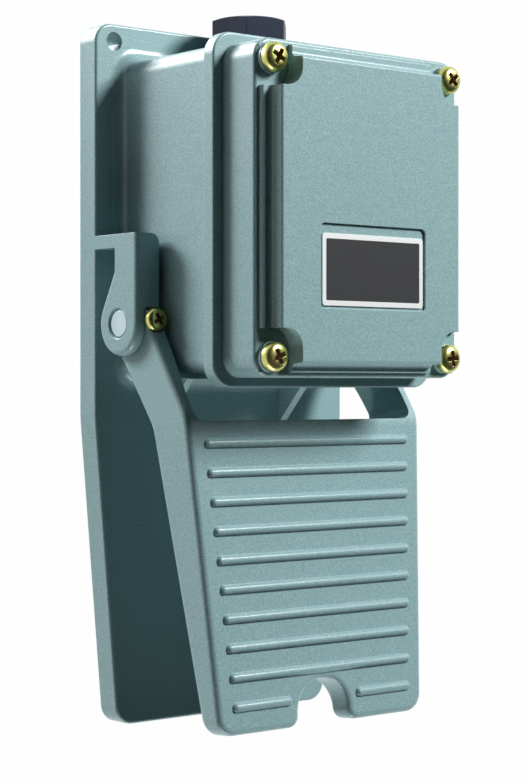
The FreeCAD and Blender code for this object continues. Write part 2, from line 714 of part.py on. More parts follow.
def corner_notches(inset, z0, z1):
    """The four screw recesses of the lid, grown inwards by inset."""
    half = LID_WIDTH / 2
    near = half - NOTCH_WIDTH_X - inset
    far = half + OVERCUT
    depth = NOTCH_DEPTH_Y + inset
    cuts = []
    for edge, away in ((LID_Y0, -1), (LID_Y1, 1)):
        inner = edge - away * depth
        outer = edge + away * OVERCUT
        points = [(near, inner), (far, inner), (far, outer), (near, outer)]
        cuts += both_sides(prism(points, [NOTCH_R + inset, 0, 0, 0], z0, z1))
    return fuse(cuts)


def crown_section(low, high, ledge_low, ledge_high):
    """Section of the lid above its rim: step, ledge, cove and crown, as (place, Z) points."""
    foot = LID_RIM_Z - LID_EDGE_R - OVERCUT
    wall_low = low + ledge_low - CROWN_DRAFT
    wall_high = high - ledge_high + CROWN_DRAFT
    points = [(low, foot), (low, STEP_Z), (wall_low, STEP_Z), (low + ledge_low, CROWN_Z)]
    points += [(high - ledge_high, CROWN_Z), (wall_high, STEP_Z), (high, STEP_Z), (high, foot)]
    radii = [0, LEDGE_EDGE_R, COVE_R, CROWN_EDGE_R, CROWN_EDGE_R, COVE_R, LEDGE_EDGE_R, 0]
    return points, radii


def lid_crown():
    """What stands above the lid's rim: the section along Y and the one across X, intersected."""
    half = LID_WIDTH / 2 - STEP_INSET
    along = side_prism(*crown_section(STEP_Y0, STEP_Y1, LEDGE_Y0, LEDGE_Y1), -half, half)
    across = side_prism(*crown_section(-half, half, LEDGE_X, LEDGE_X), STEP_Y0, STEP_Y1)
    across.rotate(vec(0, 0, 0), Z_AXIS, 90)
    return along.common(across).cut(corner_notches(0, LID_RIM_Z, CROWN_Z + OVERCUT))


def lid_hollow():
    """Room inside the lid, less the four screw posts."""
    w = LID_WALL
    end = w + LID_HOLLOW_INSET
    roof = LID_RIM_Z - w
    low = prism(rect(BOX_INNER_X, LID_Y0 + end, LID_Y1 - end), LID_CORNER_R - w, FLANGE_Z1 - OVERCUT, roof)
    half = LID_WIDTH / 2 - STEP_INSET
    room = block(w - half, half - w, STEP_Y0 + w, STEP_Y1 - w, roof - OVERCUT, STEP_Z - w)
    half -= LEDGE_X
    y = (STEP_Y0 + LEDGE_Y0 + w, STEP_Y1 - LEDGE_Y1 - w)
    room = room.fuse(block(w - half, half - w, *y, roof - OVERCUT, CROWN_Z - w))
    room = room.cut(corner_notches(w, roof, CROWN_Z))
    posts = [cyl_z(LID_POST_D / 2, x, y, FLANGE_Z1 - 2 * OVERCUT, LID_RIM_Z) for x, y in lid_screw_places()]
    return low.fuse(room).cut(fuse(posts))


def lid():
    """Stepped cover with a cove round its crown and a screw recess in each corner."""
    tub = prism(rect(LID_WIDTH / 2, LID_Y0, LID_Y1), LID_CORNER_R, FLANGE_Z1, LID_RIM_Z)
    tub = tub.makeFillet(LID_EDGE_R, edges_where(tub, lambda b, e: b.ZMin > LID_RIM_Z - 0.01))
    seats = [cyl_z(SEAT_BOSS_D / 2, x, y, LID_RIM_Z - OVERCUT, LID_SEAT_Z) for x, y in lid_screw_places()]
    cover = tub.fuse([lid_crown()] + seats).cut(lid_hollow())
    holes = [cyl_z(LID_SCREW_D / 2 + SCREW_PASS, x, y, FLANGE_Z1 - OVERCUT, LID_SEAT_Z + OVERCUT)
             for x, y in lid_screw_places()]
    y0 = PLATE_Y0 - RECESS_MARGIN
    outline = rect(PLATE_WIDTH / 2 + RECESS_MARGIN, y0, y0 + RECESS_HEIGHT)
    recess = prism(outline, RECESS_CORNER_R, CROWN_Z - RECESS_DEPTH, CROWN_Z + OVERCUT)
    return cover.cut(fuse(holes + [recess])).removeSplitter()


def lid_gasket():
    return gasket_ring(SEAL_CLEAR)


def rating_plate():
    z0 = CROWN_Z - RECESS_DEPTH
    outline = rect(PLATE_WIDTH / 2, PLATE_Y0, PLATE_Y0 + PLATE_HEIGHT)
    return prism(outline, PLATE_CORNER_R, z0, z0 + PLATE_THICK)


def lid_screws():
    screws = []
    for i, (x, y) in enumerate(lid_screw_places()):
        screw = pan_screw(LID_SCREW_D, LID_SCREW_HEAD_D, LID_SCREW_HEAD_H, LID_SCREW_LENGTH)
        screw.rotate(vec(0, 0, 0), Z_AXIS, LID_SCREW_TURN * i)
        screw.translate(vec(x, y, LID_SEAT_Z))
        screws.append(screw)
    return Part.makeCompound(screws)


def pedal_half(reach):
    """Half the pedal's width at a distance from the shaft."""
    slope = PEDAL_TOE_NARROWING / (PEDAL_REACH1 - PEDAL_REACH0)
    return PEDAL_WIDTH / 2 - slope * max(0.0, reach - PEDAL_REACH0)


def pedal_plan(inset, reach0, reach1):
    """Plan of the pedal from the top edge to the notched toe; inset shrinks the sides."""
    half0 = pedal_half(reach0) - inset
    half1 = pedal_half(reach1) - inset
    r = PEDAL_CORNER_R if inset == 0 else PEDAL_INNER_R
    points = [(half0, -reach0), (-half0, -reach0), (-half1, -reach1)]
    radii = [0.0, 0.0, r]
    n = TOE_NOTCH_R + inset
    lip = TOE_NOTCH_LIP_R if inset == 0 else TOE_NOTCH_INNER_R
    top = -(PEDAL_REACH1 - TOE_NOTCH_DEPTH) + inset
    points += [(-n, -reach1), (-n, top), (n, top), (n, -reach1)]
    radii += [lip, n - 0.01, n - 0.01, lip]
    points.append((half1, -reach1))
    radii.append(r)
    return points, radii


def pedal_side():
    """Side view of arm and skirt, as (Y, Z) points from the shaft's axis."""
    front = math.radians(ARM_SLOPE_DEG)
    back = math.radians(ARM_BACK_SLOPE_DEG)
    f0 = (EAR_R * math.sin(front), EAR_R * math.cos(front))
    b0 = (-EAR_R * math.sin(back), -EAR_R * math.cos(back))
    run = (PEDAL_TOP - f0[1]) / math.tan(front)
    toe_back = PEDAL_TOP - PEDAL_TOE_DEPTH
    heel_back = PEDAL_TOP - PEDAL_HEEL_DEPTH
    skirt_slope = (toe_back - heel_back) / (PEDAL_REACH1 - PEDAL_REACH0)
    # where the arm's back edge meets the skirt's back edge
    lift = math.tan(back)
    knee = (heel_back - skirt_slope * PEDAL_REACH0 - b0[1] - lift * b0[0]) / (lift - skirt_slope)
    knee_z = b0[1] + lift * (knee + b0[0])
    points = [f0, (f0[0] - run, PEDAL_TOP), (-PEDAL_REACH1, PEDAL_TOP)]
    points += [(-PEDAL_REACH1, toe_back), (-knee, knee_z), b0]
    return points, [0, ARM_FRONT_R, 0, 0, ARM_BACK_R, 0]


def pedal_local():
    """The pedal in its own frame, with the shaft's axis as the X axis."""
    half = PEDAL_WIDTH / 2
    low = -2 * EAR_R
    side = side_prism(*pedal_side(), -half, half).fuse(cyl_x(EAR_R, -half, half, 0, 0))
    mask = prism(*pedal_plan(0, PEDAL_REACH0, PEDAL_REACH1), low, PEDAL_TOP + OVERCUT)
    mask = mask.fuse(block(-half, half, -PEDAL_REACH0, EAR_R + OVERCUT, low, PEDAL_TOP + OVERCUT))
    body = side.common(mask).removeSplitter()
    top_edges = edges_where(body, lambda b, e: e.Length > PEDAL_EDGE_R and is_top_edge(b))
    body = body.makeFillet(PEDAL_EDGE_R, top_edges)
    body = body.cut(pedal_hollow()).cut(arm_gap())
    end = PEDAL_REACH1 - PEDAL_WALL / 2
    z = (PEDAL_TOP - PEDAL_SKIN - BACK_RIB_H, PEDAL_TOP - PEDAL_SKIN / 2)
    x = (BACK_RIB_X - BACK_RIB_T / 2, BACK_RIB_X + BACK_RIB_T / 2)
    ribs = both_sides(block(*x, -end, -PEDAL_REACH0 - OVERCUT, *z))
    return body.fuse(ribs + treads())


def is_top_edge(b):
    """True for the outline of the tread plate, but not for its edge towards the box."""
    on_top = b.ZMin > PEDAL_TOP - 0.01 and b.YMax < -PEDAL_REACH0 - 0.5
    towards_box = b.YLength < 0.01 and b.YMin > -TREAD_FIRST
    return on_top and not towards_box


def arm_gap():
    """Room between the two arms."""
    outline = [(ARM_INNER_X, -PEDAL_REACH0), (ARM_INNER_X, -PEDAL_REACH0 + ARM_TAPER)]
    outline += [(EAR_INNER_X, -EAR_R), (EAR_INNER_X, EAR_R + OVERCUT)]
    outline += [(-x, y) for x, y in reversed(outline)]
    radii = [ARM_CORNER_R, 0, 0, 0, 0, 0, 0, ARM_CORNER_R]
    return prism(outline, radii, -2 * EAR_R - OVERCUT, PEDAL_TOP + 2 * OVERCUT)


def pedal_hollow():
    """Space under the tread plate, inside the skirt and round the toe notch."""
    points, radii = pedal_plan(PEDAL_WALL, PEDAL_REACH0 + PEDAL_WALL, PEDAL_REACH1 - PEDAL_WALL)
    radii[0] = ARM_CORNER_R
    radii[1] = ARM_CORNER_R
    return prism(points, radii, -2 * EAR_R - OVERCUT, PEDAL_TOP - PEDAL_SKIN)


def treads():
    """Half-round grip bars across the plate, the last one split by the toe notch."""
    half_w = TREAD_WIDTH / 2
    r = (half_w ** 2 + TREAD_RISE ** 2) / (2 * TREAD_RISE)
    z = PEDAL_TOP + TREAD_RISE - r
    clear = PEDAL_REACH1 - TOE_NOTCH_DEPTH - TREAD_WIDTH
    count = int((PEDAL_REACH1 - TREAD_END_ROOM - TREAD_FIRST) / TREAD_PITCH) + 1
    bars = []
    for i in range(count):
        reach = TREAD_FIRST + TREAD_PITCH * i
        half = pedal_half(reach) - TREAD_INSET
        spans = [(-half, half)] if reach < clear else [(-half, -TREAD_SPLIT_HALF), (TREAD_SPLIT_HALF, half)]
        for x0, x1 in spans:
            bars.append(cyl_x(r, x0 + r, x1 - r, -reach, z))
            bars.append(Part.makeSphere(r, vec(x0 + r, -reach, z)))
            bars.append(Part.makeSphere(r, vec(x1 - r, -reach, z)))
    return bars


def rest_pose(shape):
    """Takes a piece from the pedal's own frame to its place at rest."""
    shape.rotate(vec(0, 0, 0), X_AXIS, -REST_TILT_DEG)
    shape.translate(vec(0, SHAFT_Y, SHAFT_Z))
    return shape


def pedal():
    body = pedal_local()
    pad = block(EAR_INNER_X, EAR_OUTER_X, -LOCK_PAD_LENGTH / 2, LOCK_PAD_LENGTH / 2, 0, LOCK_SEAT)
    body = body.fuse(both_sides(pad))
    bore = cyl_x(SHAFT_D / 2 + SHAFT_FIT, -PEDAL_WIDTH, PEDAL_WIDTH, 0, 0)
    tap = cyl_z(LOCK_SCREW_D / 2 + SCREW_CLEAR, EAR_MID_X, 0, 0, LOCK_SEAT + OVERCUT)
    spot = cyl_z(LOCK_HEAD_D / 2 + LOCK_SPOT_CLEAR, EAR_MID_X, 0, LOCK_SEAT, PEDAL_TOP)
    body = body.cut(fuse([bore] + both_sides(tap) + both_sides(spot))).removeSplitter()
    return rest_pose(body)


def locking_screws():
    """Radial screws that fix the pedal's ears to the shaft."""
    length = LOCK_SEAT - SHAFT_D / 2 + LOCK_BITE
    screw = pan_screw(LOCK_SCREW_D, LOCK_HEAD_D, LOCK_HEAD_H, length)
    screw.translate(vec(EAR_MID_X, 0, LOCK_SEAT))
    return Part.makeCompound([rest_pose(s) for s in both_sides(screw)])


def pivot_shaft():
    """Plain bar through both lugs, both ears and the box, with dimples for its screws."""
    half = LUG_OUTER_X - SHAFT_RECESS
    bar = cyl_x(SHAFT_D / 2, -half, half, SHAFT_Y, SHAFT_Z)
    bar = bar.makeChamfer(SHAFT_CHAMFER, edges_where(bar, lambda b, e: b.XLength < 0.01))
    bottom = SHAFT_D / 2 - LOCK_BITE - DIMPLE_SPARE
    dimple = cyl_z(LOCK_SCREW_D / 2 + SCREW_CLEAR, EAR_MID_X, 0, bottom, SHAFT_D)
    dimples = [rest_pose(s) for s in both_sides(dimple)]
    dimples.append(cyl_z(LEVER_SCREW_D / 2 + SCREW_CLEAR, 0, SHAFT_Y, SHAFT_DIMPLE_Z, SHAFT_Z + SHAFT_D))
    return bar.cut(fuse(dimples))


def shaft_bushes():
    x0 = bush_start()
    x1 = seal_end() - SEAL_LENGTH
    bush = cyl_x(BUSH_D / 2, x0, x1, SHAFT_Y, SHAFT_Z)
    bush = bush.cut(cyl_x(SHAFT_D / 2 + SHAFT_CLEAR, x0 - OVERCUT, x1 + OVERCUT, SHAFT_Y, SHAFT_Z))
    return Part.makeCompound(both_sides(bush))


def shaft_seals():
    x1 = seal_end()
    x0 = x1 - SEAL_LENGTH
    seal = cyl_x(BUSH_D / 2, x0, x1, SHAFT_Y, SHAFT_Z)
    seal = seal.cut(cyl_x(SHAFT_D / 2 + SEAL_CLEAR, x0 - OVERCUT, x1 + OVERCUT, SHAFT_Y, SHAFT_Z))
    return Part.makeCompound(both_sides(seal))


def lever():
    """Clamped on the shaft; its nose lifts the plunger when the pedal goes down."""
    half = LEVER_HUB_WIDTH / 2
    hub = cyl_x(LEVER_HUB_R, -half, half, SHAFT_Y, SHAFT_Z)
    t = LEVER_ARM_THICK / 2
    w = LEVER_ARM_WIDTH / 2
    arm = block(-w, w, SHAFT_Y, NOSE_Y, SHAFT_Z - t, SHAFT_Z + t)
    nose = cyl_x(NOSE_R, -w, w, NOSE_Y, SHAFT_Z)
    spigot = cyl_z(SPIGOT_R, 0, SPRING_Y, LEVER_TOP_Z - OVERCUT, LEVER_TOP_Z + SPIGOT_H)
    body = fuse([hub, arm, nose, spigot])
    bore = cyl_x(SHAFT_D / 2 + SHAFT_FIT, -half - OVERCUT, half + OVERCUT, SHAFT_Y, SHAFT_Z)
    tap = cyl_z(LEVER_SCREW_D / 2 + SCREW_CLEAR, 0, SHAFT_Y, SHAFT_Z, SHAFT_Z + LEVER_HUB_R + OVERCUT)
    return body.cut(bore.fuse(tap)).removeSplitter()


def lever_screw():
    """Hexagon-socket grub screw through the lever's hub."""
    top = SHAFT_Z + LEVER_HUB_R - LEVER_SCREW_SUNK
    screw = cyl_z(LEVER_SCREW_D / 2, 0, SHAFT_Y, SHAFT_DIMPLE_Z, top)
    key = prism(hexagon(KEY_ACROSS, 0), 0, top - KEY_DEPTH, top + OVERCUT)
    key.translate(vec(0, SHAFT_Y, 0))
    return screw.cut(key)


def return_spring():
    z0 = LEVER_TOP_Z + REACH_GAP
    spring = coil(SPRING_D, SPRING_WIRE, SPRING_TURNS, PILLAR_TOP - z0)
    spring.translate(vec(0, SPRING_Y, z0))
    return spring


def spring_guide():
    """Riveted pin that centres the spring and stops the lever at the end of its travel."""
    pin = cyl_z(GUIDE_R, 0, SPRING_Y, PILLAR_TOP - GUIDE_DROP, BRACKET_TOP)
    head = cyl_z(GUIDE_HEAD_R, 0, SPRING_Y, BRACKET_TOP, BRACKET_TOP + GUIDE_HEAD_H)
    return pin.fuse(head).removeSplitter()


def stop_buffer():
    return cyl_z(BUFFER_D / 2, 0, SHAFT_Y + STOP_REACH, STOP_POST_TOP, STOP_POST_TOP + BUFFER_H)


def bracket():
    m = BRACKET_MARGIN
    outline = rect(PILLAR_X + m, PILLAR_Y[0] - m, PILLAR_Y[1] + m)
    plate = prism(outline, BRACKET_CORNER_R, PILLAR_TOP, BRACKET_TOP)
    holes = [(M4_D / 2 + SCREW_PASS, x, y) for x, y in pillar_places()]
    holes += [(M4_D / 2 + SCREW_CLEAR, x, y) for x, y in tab_places()]
    holes += [(GUIDE_R + SCREW_CLEAR, 0, SPRING_Y), (STEM_R + STEM_PASS, 0, NOSE_Y)]
    cuts = [cyl_z(r, x, y, PILLAR_TOP - OVERCUT, BRACKET_TOP + OVERCUT) for r, x, y in holes]
    return plate.cut(fuse(cuts))


def bracket_screws():
    screws = []
    for x, y in pillar_places():
        screw = slotted_screw(M4_D, M4_HEAD_D, M4_HEAD_H, M4_LENGTH)
        screw.translate(vec(x, y, BRACKET_TOP))
        screws.append(screw)
    return Part.makeCompound(screws)


def tab_places():
    reach = BLOCK_HALF_Y + TAB_LENGTH / 2
    return [(TAB_X, NOSE_Y - reach), (-TAB_X, NOSE_Y + reach)]


def contact_block():
    """Moulded body: a chamber for the bridge, stepped ledges for the terminals, two feet."""
    z0 = BRACKET_TOP
    floor = z0 + BLOCK_FLOOR
    body = block(-BLOCK_HALF_X, BLOCK_HALF_X, NOSE_Y - BLOCK_HALF_Y, NOSE_Y + BLOCK_HALF_Y, z0, BLOCK_TOP)
    ledge_y = (NOSE_Y - STRIP_WIDTH, NOSE_Y + STRIP_WIDTH)
    low = block(-LOW_LEDGE_X, LOW_LEDGE_X, *ledge_y, z0, LOW_STRIP_Z)
    high = block(-HIGH_LEDGE_X, HIGH_LEDGE_X, *ledge_y, z0, HIGH_STRIP_Z)
    half_w = TAB_WIDTH / 2
    half_l = TAB_LENGTH / 2 + TAB_LAP
    feet = [block(x - half_w, x + half_w, y - half_l, y + half_l, z0, z0 + TAB_T) for x, y in tab_places()]
    body = fuse([body, low, high] + feet)
    chamber = (NOSE_Y - CHAMBER_HALF_Y, NOSE_Y + CHAMBER_HALF_Y, floor, BLOCK_TOP + OVERCUT)
    cuts = [block(-CHAMBER_HALF_X, CHAMBER_HALF_X, *chamber)]
    cuts.append(cyl_z(STEM_R + SLIDE_CLEAR, 0, NOSE_Y, z0 - OVERCUT, floor + OVERCUT))
    half_w = STRIP_WIDTH / 2 + SLIDE_CLEAR
    for z in (LOW_STRIP_Z, HIGH_STRIP_Z):
        cuts.append(block(-LOW_LEDGE_X, LOW_LEDGE_X, NOSE_Y - half_w, NOSE_Y + half_w, z, z + STRIP_T))
    for x, z in terminal_places():
        bottom = z + STRIP_T - TERMINAL_LENGTH - THREAD_SPARE / 2
        cuts += both_sides(cyl_z(TERMINAL_D / 2 + SCREW_CLEAR, x, NOSE_Y, bottom, z + OVERCUT))
    bottom = BLOCK_TOP + BLOCK_COVER_T - COVER_SCREW_LENGTH - THREAD_SPARE
    for x, y in cover_screw_places():
        cuts.append(cyl_z(COVER_SCREW_D / 2 + SCREW_CLEAR, x, y, bottom, BLOCK_TOP + OVERCUT))
    foot_r = M4_D / 2 + SCREW_PASS
    cuts += [cyl_z(foot_r, x, y, z0 - OVERCUT, z0 + TAB_T + OVERCUT) for x, y in tab_places()]
    return body.cut(fuse(cuts)).removeSplitter()


def terminal_places():
    low_x = (LOW_LEDGE_X + HIGH_LEDGE_X) / 2
    high_x = (HIGH_LEDGE_X + BLOCK_HALF_X) / 2
    return [(low_x, LOW_STRIP_Z), (high_x, HIGH_STRIP_Z)]


def cover_screw_places():
    return [(COVER_SCREW_X, NOSE_Y + COVER_SCREW_Y), (-COVER_SCREW_X, NOSE_Y - COVER_SCREW_Y)]


def contact_strips(z, reach, tip_z):
    """A pair of fixed contacts: a strip with a silver tip at its inner end."""
    x0 = TIP_X - TIP_R - STRIP_LAP
    strip = block(x0, reach, NOSE_Y - STRIP_WIDTH / 2, NOSE_Y + STRIP_WIDTH / 2, z, z + STRIP_T)
    hole_x = [x for x, place in terminal_places() if abs(place - z) < 0.01][0]
    hole_r = TERMINAL_D / 2 + TERMINAL_PASS
    strip = strip.cut(cyl_z(hole_r, hole_x, NOSE_Y, z - OVERCUT, z + STRIP_T + OVERCUT))
    tip = cyl_z(TIP_R, TIP_X, NOSE_Y, tip_z, tip_z + TIP_T)
    return Part.makeCompound(both_sides(strip.fuse(tip)))


def closed_contacts():
    return contact_strips(LOW_STRIP_Z, LOW_LEDGE_X, LOW_STRIP_Z + STRIP_T)


def open_contacts():
    return contact_strips(HIGH_STRIP_Z, HIGH_LEDGE_X, HIGH_STRIP_Z - TIP_T)


def terminal_screws():
    screws = []
    for x, z in terminal_places():
        screw = slotted_screw(TERMINAL_D, TERMINAL_HEAD_D, TERMINAL_HEAD_H, TERMINAL_LENGTH)
        screw.translate(vec(x, NOSE_Y, z + STRIP_T))
        screws += both_sides(screw)
    return Part.makeCompound(screws)


def plunger():
    z0 = NOSE_TOP_Z + REACH_GAP
    stem = cyl_z(STEM_R, 0, NOSE_Y, z0, STEM_TOP)
    stem = stem.makeFillet(STEM_TIP_R, edges_where(stem, lambda b, e: b.ZMax < z0 + 0.01))
    return stem.fuse(cyl_z(PIN_R, 0, NOSE_Y, STEM_TOP, STEM_TOP + PIN_LENGTH)).removeSplitter()


def contact_bridge():
    """Strip carried by the plunger, with a silver tip on both faces at each end."""
    half_l = BRIDGE_LENGTH / 2
    half_w = BRIDGE_WIDTH / 2
    strip = block(-half_l, half_l, NOSE_Y - half_w, NOSE_Y + half_w, STEM_TOP, STEM_TOP + BRIDGE_T)
    tip = cyl_z(TIP_R, TIP_X, NOSE_Y, STEM_TOP - TIP_T, STEM_TOP + BRIDGE_T + TIP_T)
    strip = strip.fuse(both_sides(tip))
    hole = cyl_z(PIN_R + SCREW_CLEAR, 0, NOSE_Y, STEM_TOP - OVERCUT, STEM_TOP + BRIDGE_T + OVERCUT)
    return strip.cut(hole).removeSplitter()


def plunger_spring():
    z0 = STEM_TOP + BRIDGE_T
    spring = coil(PLUNGER_SPRING_D, PLUNGER_SPRING_WIRE, PLUNGER_SPRING_TURNS, BLOCK_TOP - z0)
    spring.translate(vec(0, NOSE_Y, z0))
    return spring


def block_cover():
    cover = block(-BLOCK_HALF_X, BLOCK_HALF_X, NOSE_Y - BLOCK_HALF_Y, NOSE_Y + BLOCK_HALF_Y,
                  BLOCK_TOP, BLOCK_TOP + BLOCK_COVER_T)
    top = BLOCK_TOP + BLOCK_COVER_T
    cover = cover.makeFillet(BLOCK_COVER_EDGE_R, edges_where(cover, lambda b, e: b.ZMin > top - 0.01))
    holes = [cyl_z(COVER_SCREW_D / 2 + TERMINAL_PASS, x, y, BLOCK_TOP - OVERCUT, top + OVERCUT)
             for x, y in cover_screw_places()]
    return cover.cut(fuse(holes))


def cover_screws():
    screws = []
    for x, y in cover_screw_places():
        screw = slotted_screw(COVER_SCREW_D, COVER_HEAD_D, COVER_HEAD_H, COVER_SCREW_LENGTH)
        screw.translate(vec(x, y, BLOCK_TOP + BLOCK_COVER_T))
        screws.append(screw)
    return Part.makeCompound(screws)


def block_screws():
    screws = []
    for x, y in tab_places():
        screw = slotted_screw(M4_D, M4_HEAD_D, M4_HEAD_H, TAB_T + BRACKET_T + M4_PROUD)
        screw.translate(vec(x, y, BRACKET_TOP + TAB_T))
        screws.append(screw)
    return Part.makeCompound(screws)


def along_gland(shape):
    """Turns a piece built up along +Z so that it points out of the end wall's pad."""
    shape.rotate(vec(0, 0, 0), X_AXIS, -90)
    shape.translate(vec(0, GLAND_FACE_Y, GLAND_Z))
    return shape


def gland_gasket():
    ring = cyl_z(GLAND_GASKET_D / 2, 0, 0, 0, GLAND_GASKET_T)
    hole = cyl_z(GLAND_THREAD_D / 2 + SLIDE_CLEAR, 0, 0, -OVERCUT, GLAND_GASKET_T + OVERCUT)
    return along_gland(ring.cut(hole))


def chamfered_hexagon(z0, z1, chamfer):
    """Hexagonal bar whose outer corners are turned off; chamfer reaches into the flats."""
    corner_r = GLAND_HEX / math.sqrt(3)
    flat_r = GLAND_HEX / 2 - chamfer
    rise = (corner_r - flat_r) * math.tan(math.radians(GLAND_CHAMFER_DEG))
    bar = prism(hexagon(GLAND_HEX, GLAND_TURN_DEG), 0, z0, z1)
    low = cyl_z(corner_r, 0, 0, z0, z1 - rise)
    return bar.common(low.fuse(Part.makeCone(corner_r, flat_r, rise, vec(0, 0, z1 - rise), Z_AXIS)))


def gland_body():
    """Threaded shank through the wall under a hexagonal collar, and a neck for the nut."""
    z0 = GLAND_GASKET_T
    z1 = z0 + GLAND_COLLAR
    collar = chamfered_hexagon(z0, z1, GLAND_COLLAR_CHAMFER)
    shank = cyl_z(GLAND_THREAD_D / 2, 0, 0, z0 - GLAND_SHANK, z0 + OVERCUT)
    neck = cyl_z(GLAND_NECK_D / 2, 0, 0, z1 - OVERCUT, z1 + GLAND_NECK_LENGTH)
    body = fuse([collar, shank, neck])
    body = body.cut(cyl_z(GLAND_BORE_D / 2, 0, 0, gland_bush_foot(), z1 + GLAND_NUT_H))
    body = body.cut(cyl_z(GLAND_MOUTH_D / 2, 0, 0, -GLAND_SHANK - OVERCUT, z1))
    return along_gland(body.removeSplitter())


def gland_nut():
    z0 = GLAND_GASKET_T + GLAND_COLLAR
    z1 = z0 + GLAND_NUT_H
    nut = chamfered_hexagon(z0, z1, GLAND_NUT_CHAMFER)
    nut = nut.cut(cyl_z(GLAND_NECK_D / 2 + SCREW_CLEAR, 0, 0, z0 - OVERCUT, z1 - GLAND_END_WALL))
    nut = nut.cut(cyl_z(GLAND_MOUTH_D / 2, 0, 0, z0, z1 + OVERCUT))
    return along_gland(nut.removeSplitter())


def gland_bush_foot():
    return GLAND_GASKET_T + GLAND_COLLAR + GLAND_NUT_H - GLAND_END_WALL - GLAND_BUSH_LENGTH


def gland_bush():
    """Rubber sleeve, held between shoulders, that the nut squeezes on to the cable."""
    low = gland_bush_foot()
    top = low + GLAND_BUSH_LENGTH
    bush = cyl_z(GLAND_BORE_D / 2 - SEAL_CLEAR, 0, 0, low, top)
    return along_gland(bush.cut(cyl_z(CABLE_HOLE_D / 2, 0, 0, low - OVERCUT, top + OVERCUT)))


def gland_locknut():
    low = -GLAND_WALL - LOCKNUT_T
    nut = prism(hexagon(LOCKNUT_HEX, 0), 0, low, -GLAND_WALL)
    return along_gland(nut.cut(cyl_z(GLAND_THREAD_D / 2 + SCREW_CLEAR, 0, 0, low - OVERCUT, 0)))


def earth_screw():
    screw = slotted_screw(EARTH_SCREW_D, EARTH_HEAD_D, EARTH_HEAD_H, EARTH_LENGTH)
    screw.translate(vec(0, EARTH_Y, BASE_HEIGHT + EARTH_BOSS_H + EARTH_WASHER_T))
    return screw


def earth_washer():
    z = BASE_HEIGHT + EARTH_BOSS_H
    ring = cyl_z(EARTH_WASHER_D / 2, 0, EARTH_Y, z, z + EARTH_WASHER_T)
    hole = cyl_z(EARTH_SCREW_D / 2 + TERMINAL_PASS, 0, EARTH_Y, z - OVERCUT, z + EARTH_WASHER_T + OVERCUT)
    return ring.cut(hole)


PIECES = {
    "housing": housing,
    "lid": lid,
    "lid_gasket": lid_gasket,
    "lid_screws": lid_screws,
    "rating_plate": rating_plate,
    "pedal": pedal,
    "pivot_shaft": pivot_shaft,
    "locking_screws": locking_screws,
    "shaft_bushes": shaft_bushes,
    "shaft_seals": shaft_seals,
    "lever": lever,
    "lever_screw": lever_screw,
    "return_spring": return_spring,
    "spring_guide": spring_guide,
    "stop_buffer": stop_buffer,
    "bracket": bracket,
    "bracket_screws": bracket_screws,
    "contact_block": contact_block,
    "block_cover": block_cover,
    "cover_screws": cover_screws,
    "block_screws": block_screws,
    "closed_contacts": closed_contacts,
    "open_contacts": open_contacts,
    "terminal_screws": terminal_screws,
    "plunger": plunger,
    "contact_bridge": contact_bridge,
    "plunger_spring": plunger_spring,
    "gland_gasket": gland_gasket,
    "gland_body": gland_body,
    "gland_nut": gland_nut,
    "gland_bush": gland_bush,
    "gland_locknut": gland_locknut,
    "earth_screw": earth_screw,
    "earth_washer": earth_washer,
}


def main():
    os.makedirs("parts", exist_ok=True)
    for name, make in PIECES.items():
        shape = make()
        shape.translate(vec(0, -OVERALL_LENGTH / 2, 0))
        if not shape.isValid() or any(s.Volume <= 0 for s in shape.Solids):
            raise ValueError("bad solid in " + name)
        shape.exportStep("parts/" + name + ".step")
        print(name, len(shape.Solids), round(shape.Volume / 1000.0, 2), "cm3")


main()
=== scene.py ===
"""Looks of a cast industrial foot switch: its finishes, its fine pieces and a studio stage."""

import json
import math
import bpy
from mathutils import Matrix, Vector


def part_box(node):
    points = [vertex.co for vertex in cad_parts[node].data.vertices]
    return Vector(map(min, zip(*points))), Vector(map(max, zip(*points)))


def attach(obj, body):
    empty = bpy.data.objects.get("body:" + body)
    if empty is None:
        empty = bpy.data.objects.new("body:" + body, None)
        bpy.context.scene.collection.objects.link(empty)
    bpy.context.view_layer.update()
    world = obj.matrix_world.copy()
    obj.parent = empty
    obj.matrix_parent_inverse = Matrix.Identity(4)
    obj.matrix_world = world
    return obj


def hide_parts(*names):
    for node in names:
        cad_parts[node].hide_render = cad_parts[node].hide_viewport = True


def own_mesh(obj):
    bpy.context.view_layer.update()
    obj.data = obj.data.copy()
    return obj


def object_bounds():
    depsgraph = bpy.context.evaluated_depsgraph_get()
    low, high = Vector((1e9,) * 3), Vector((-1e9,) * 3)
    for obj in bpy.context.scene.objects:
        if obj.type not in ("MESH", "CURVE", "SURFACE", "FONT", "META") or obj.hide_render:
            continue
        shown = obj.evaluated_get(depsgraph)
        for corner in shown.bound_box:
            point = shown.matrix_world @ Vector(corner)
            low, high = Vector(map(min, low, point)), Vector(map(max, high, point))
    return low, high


bl_info = {
    "name": "Foot Switch Looks",
    "version": (1, 0, 0),
    "blender": (4, 5, 0),
    "location": "View3D > Sidebar > Foot Switch",
    "description": "Dresses the packed foot switch with its finishes and puts it on a studio stage",
    "category": "Object",
}

import bmesh
import bpy
from bpy.props import FloatProperty, FloatVectorProperty, IntProperty, PointerProperty
from mathutils import Matrix, Vector

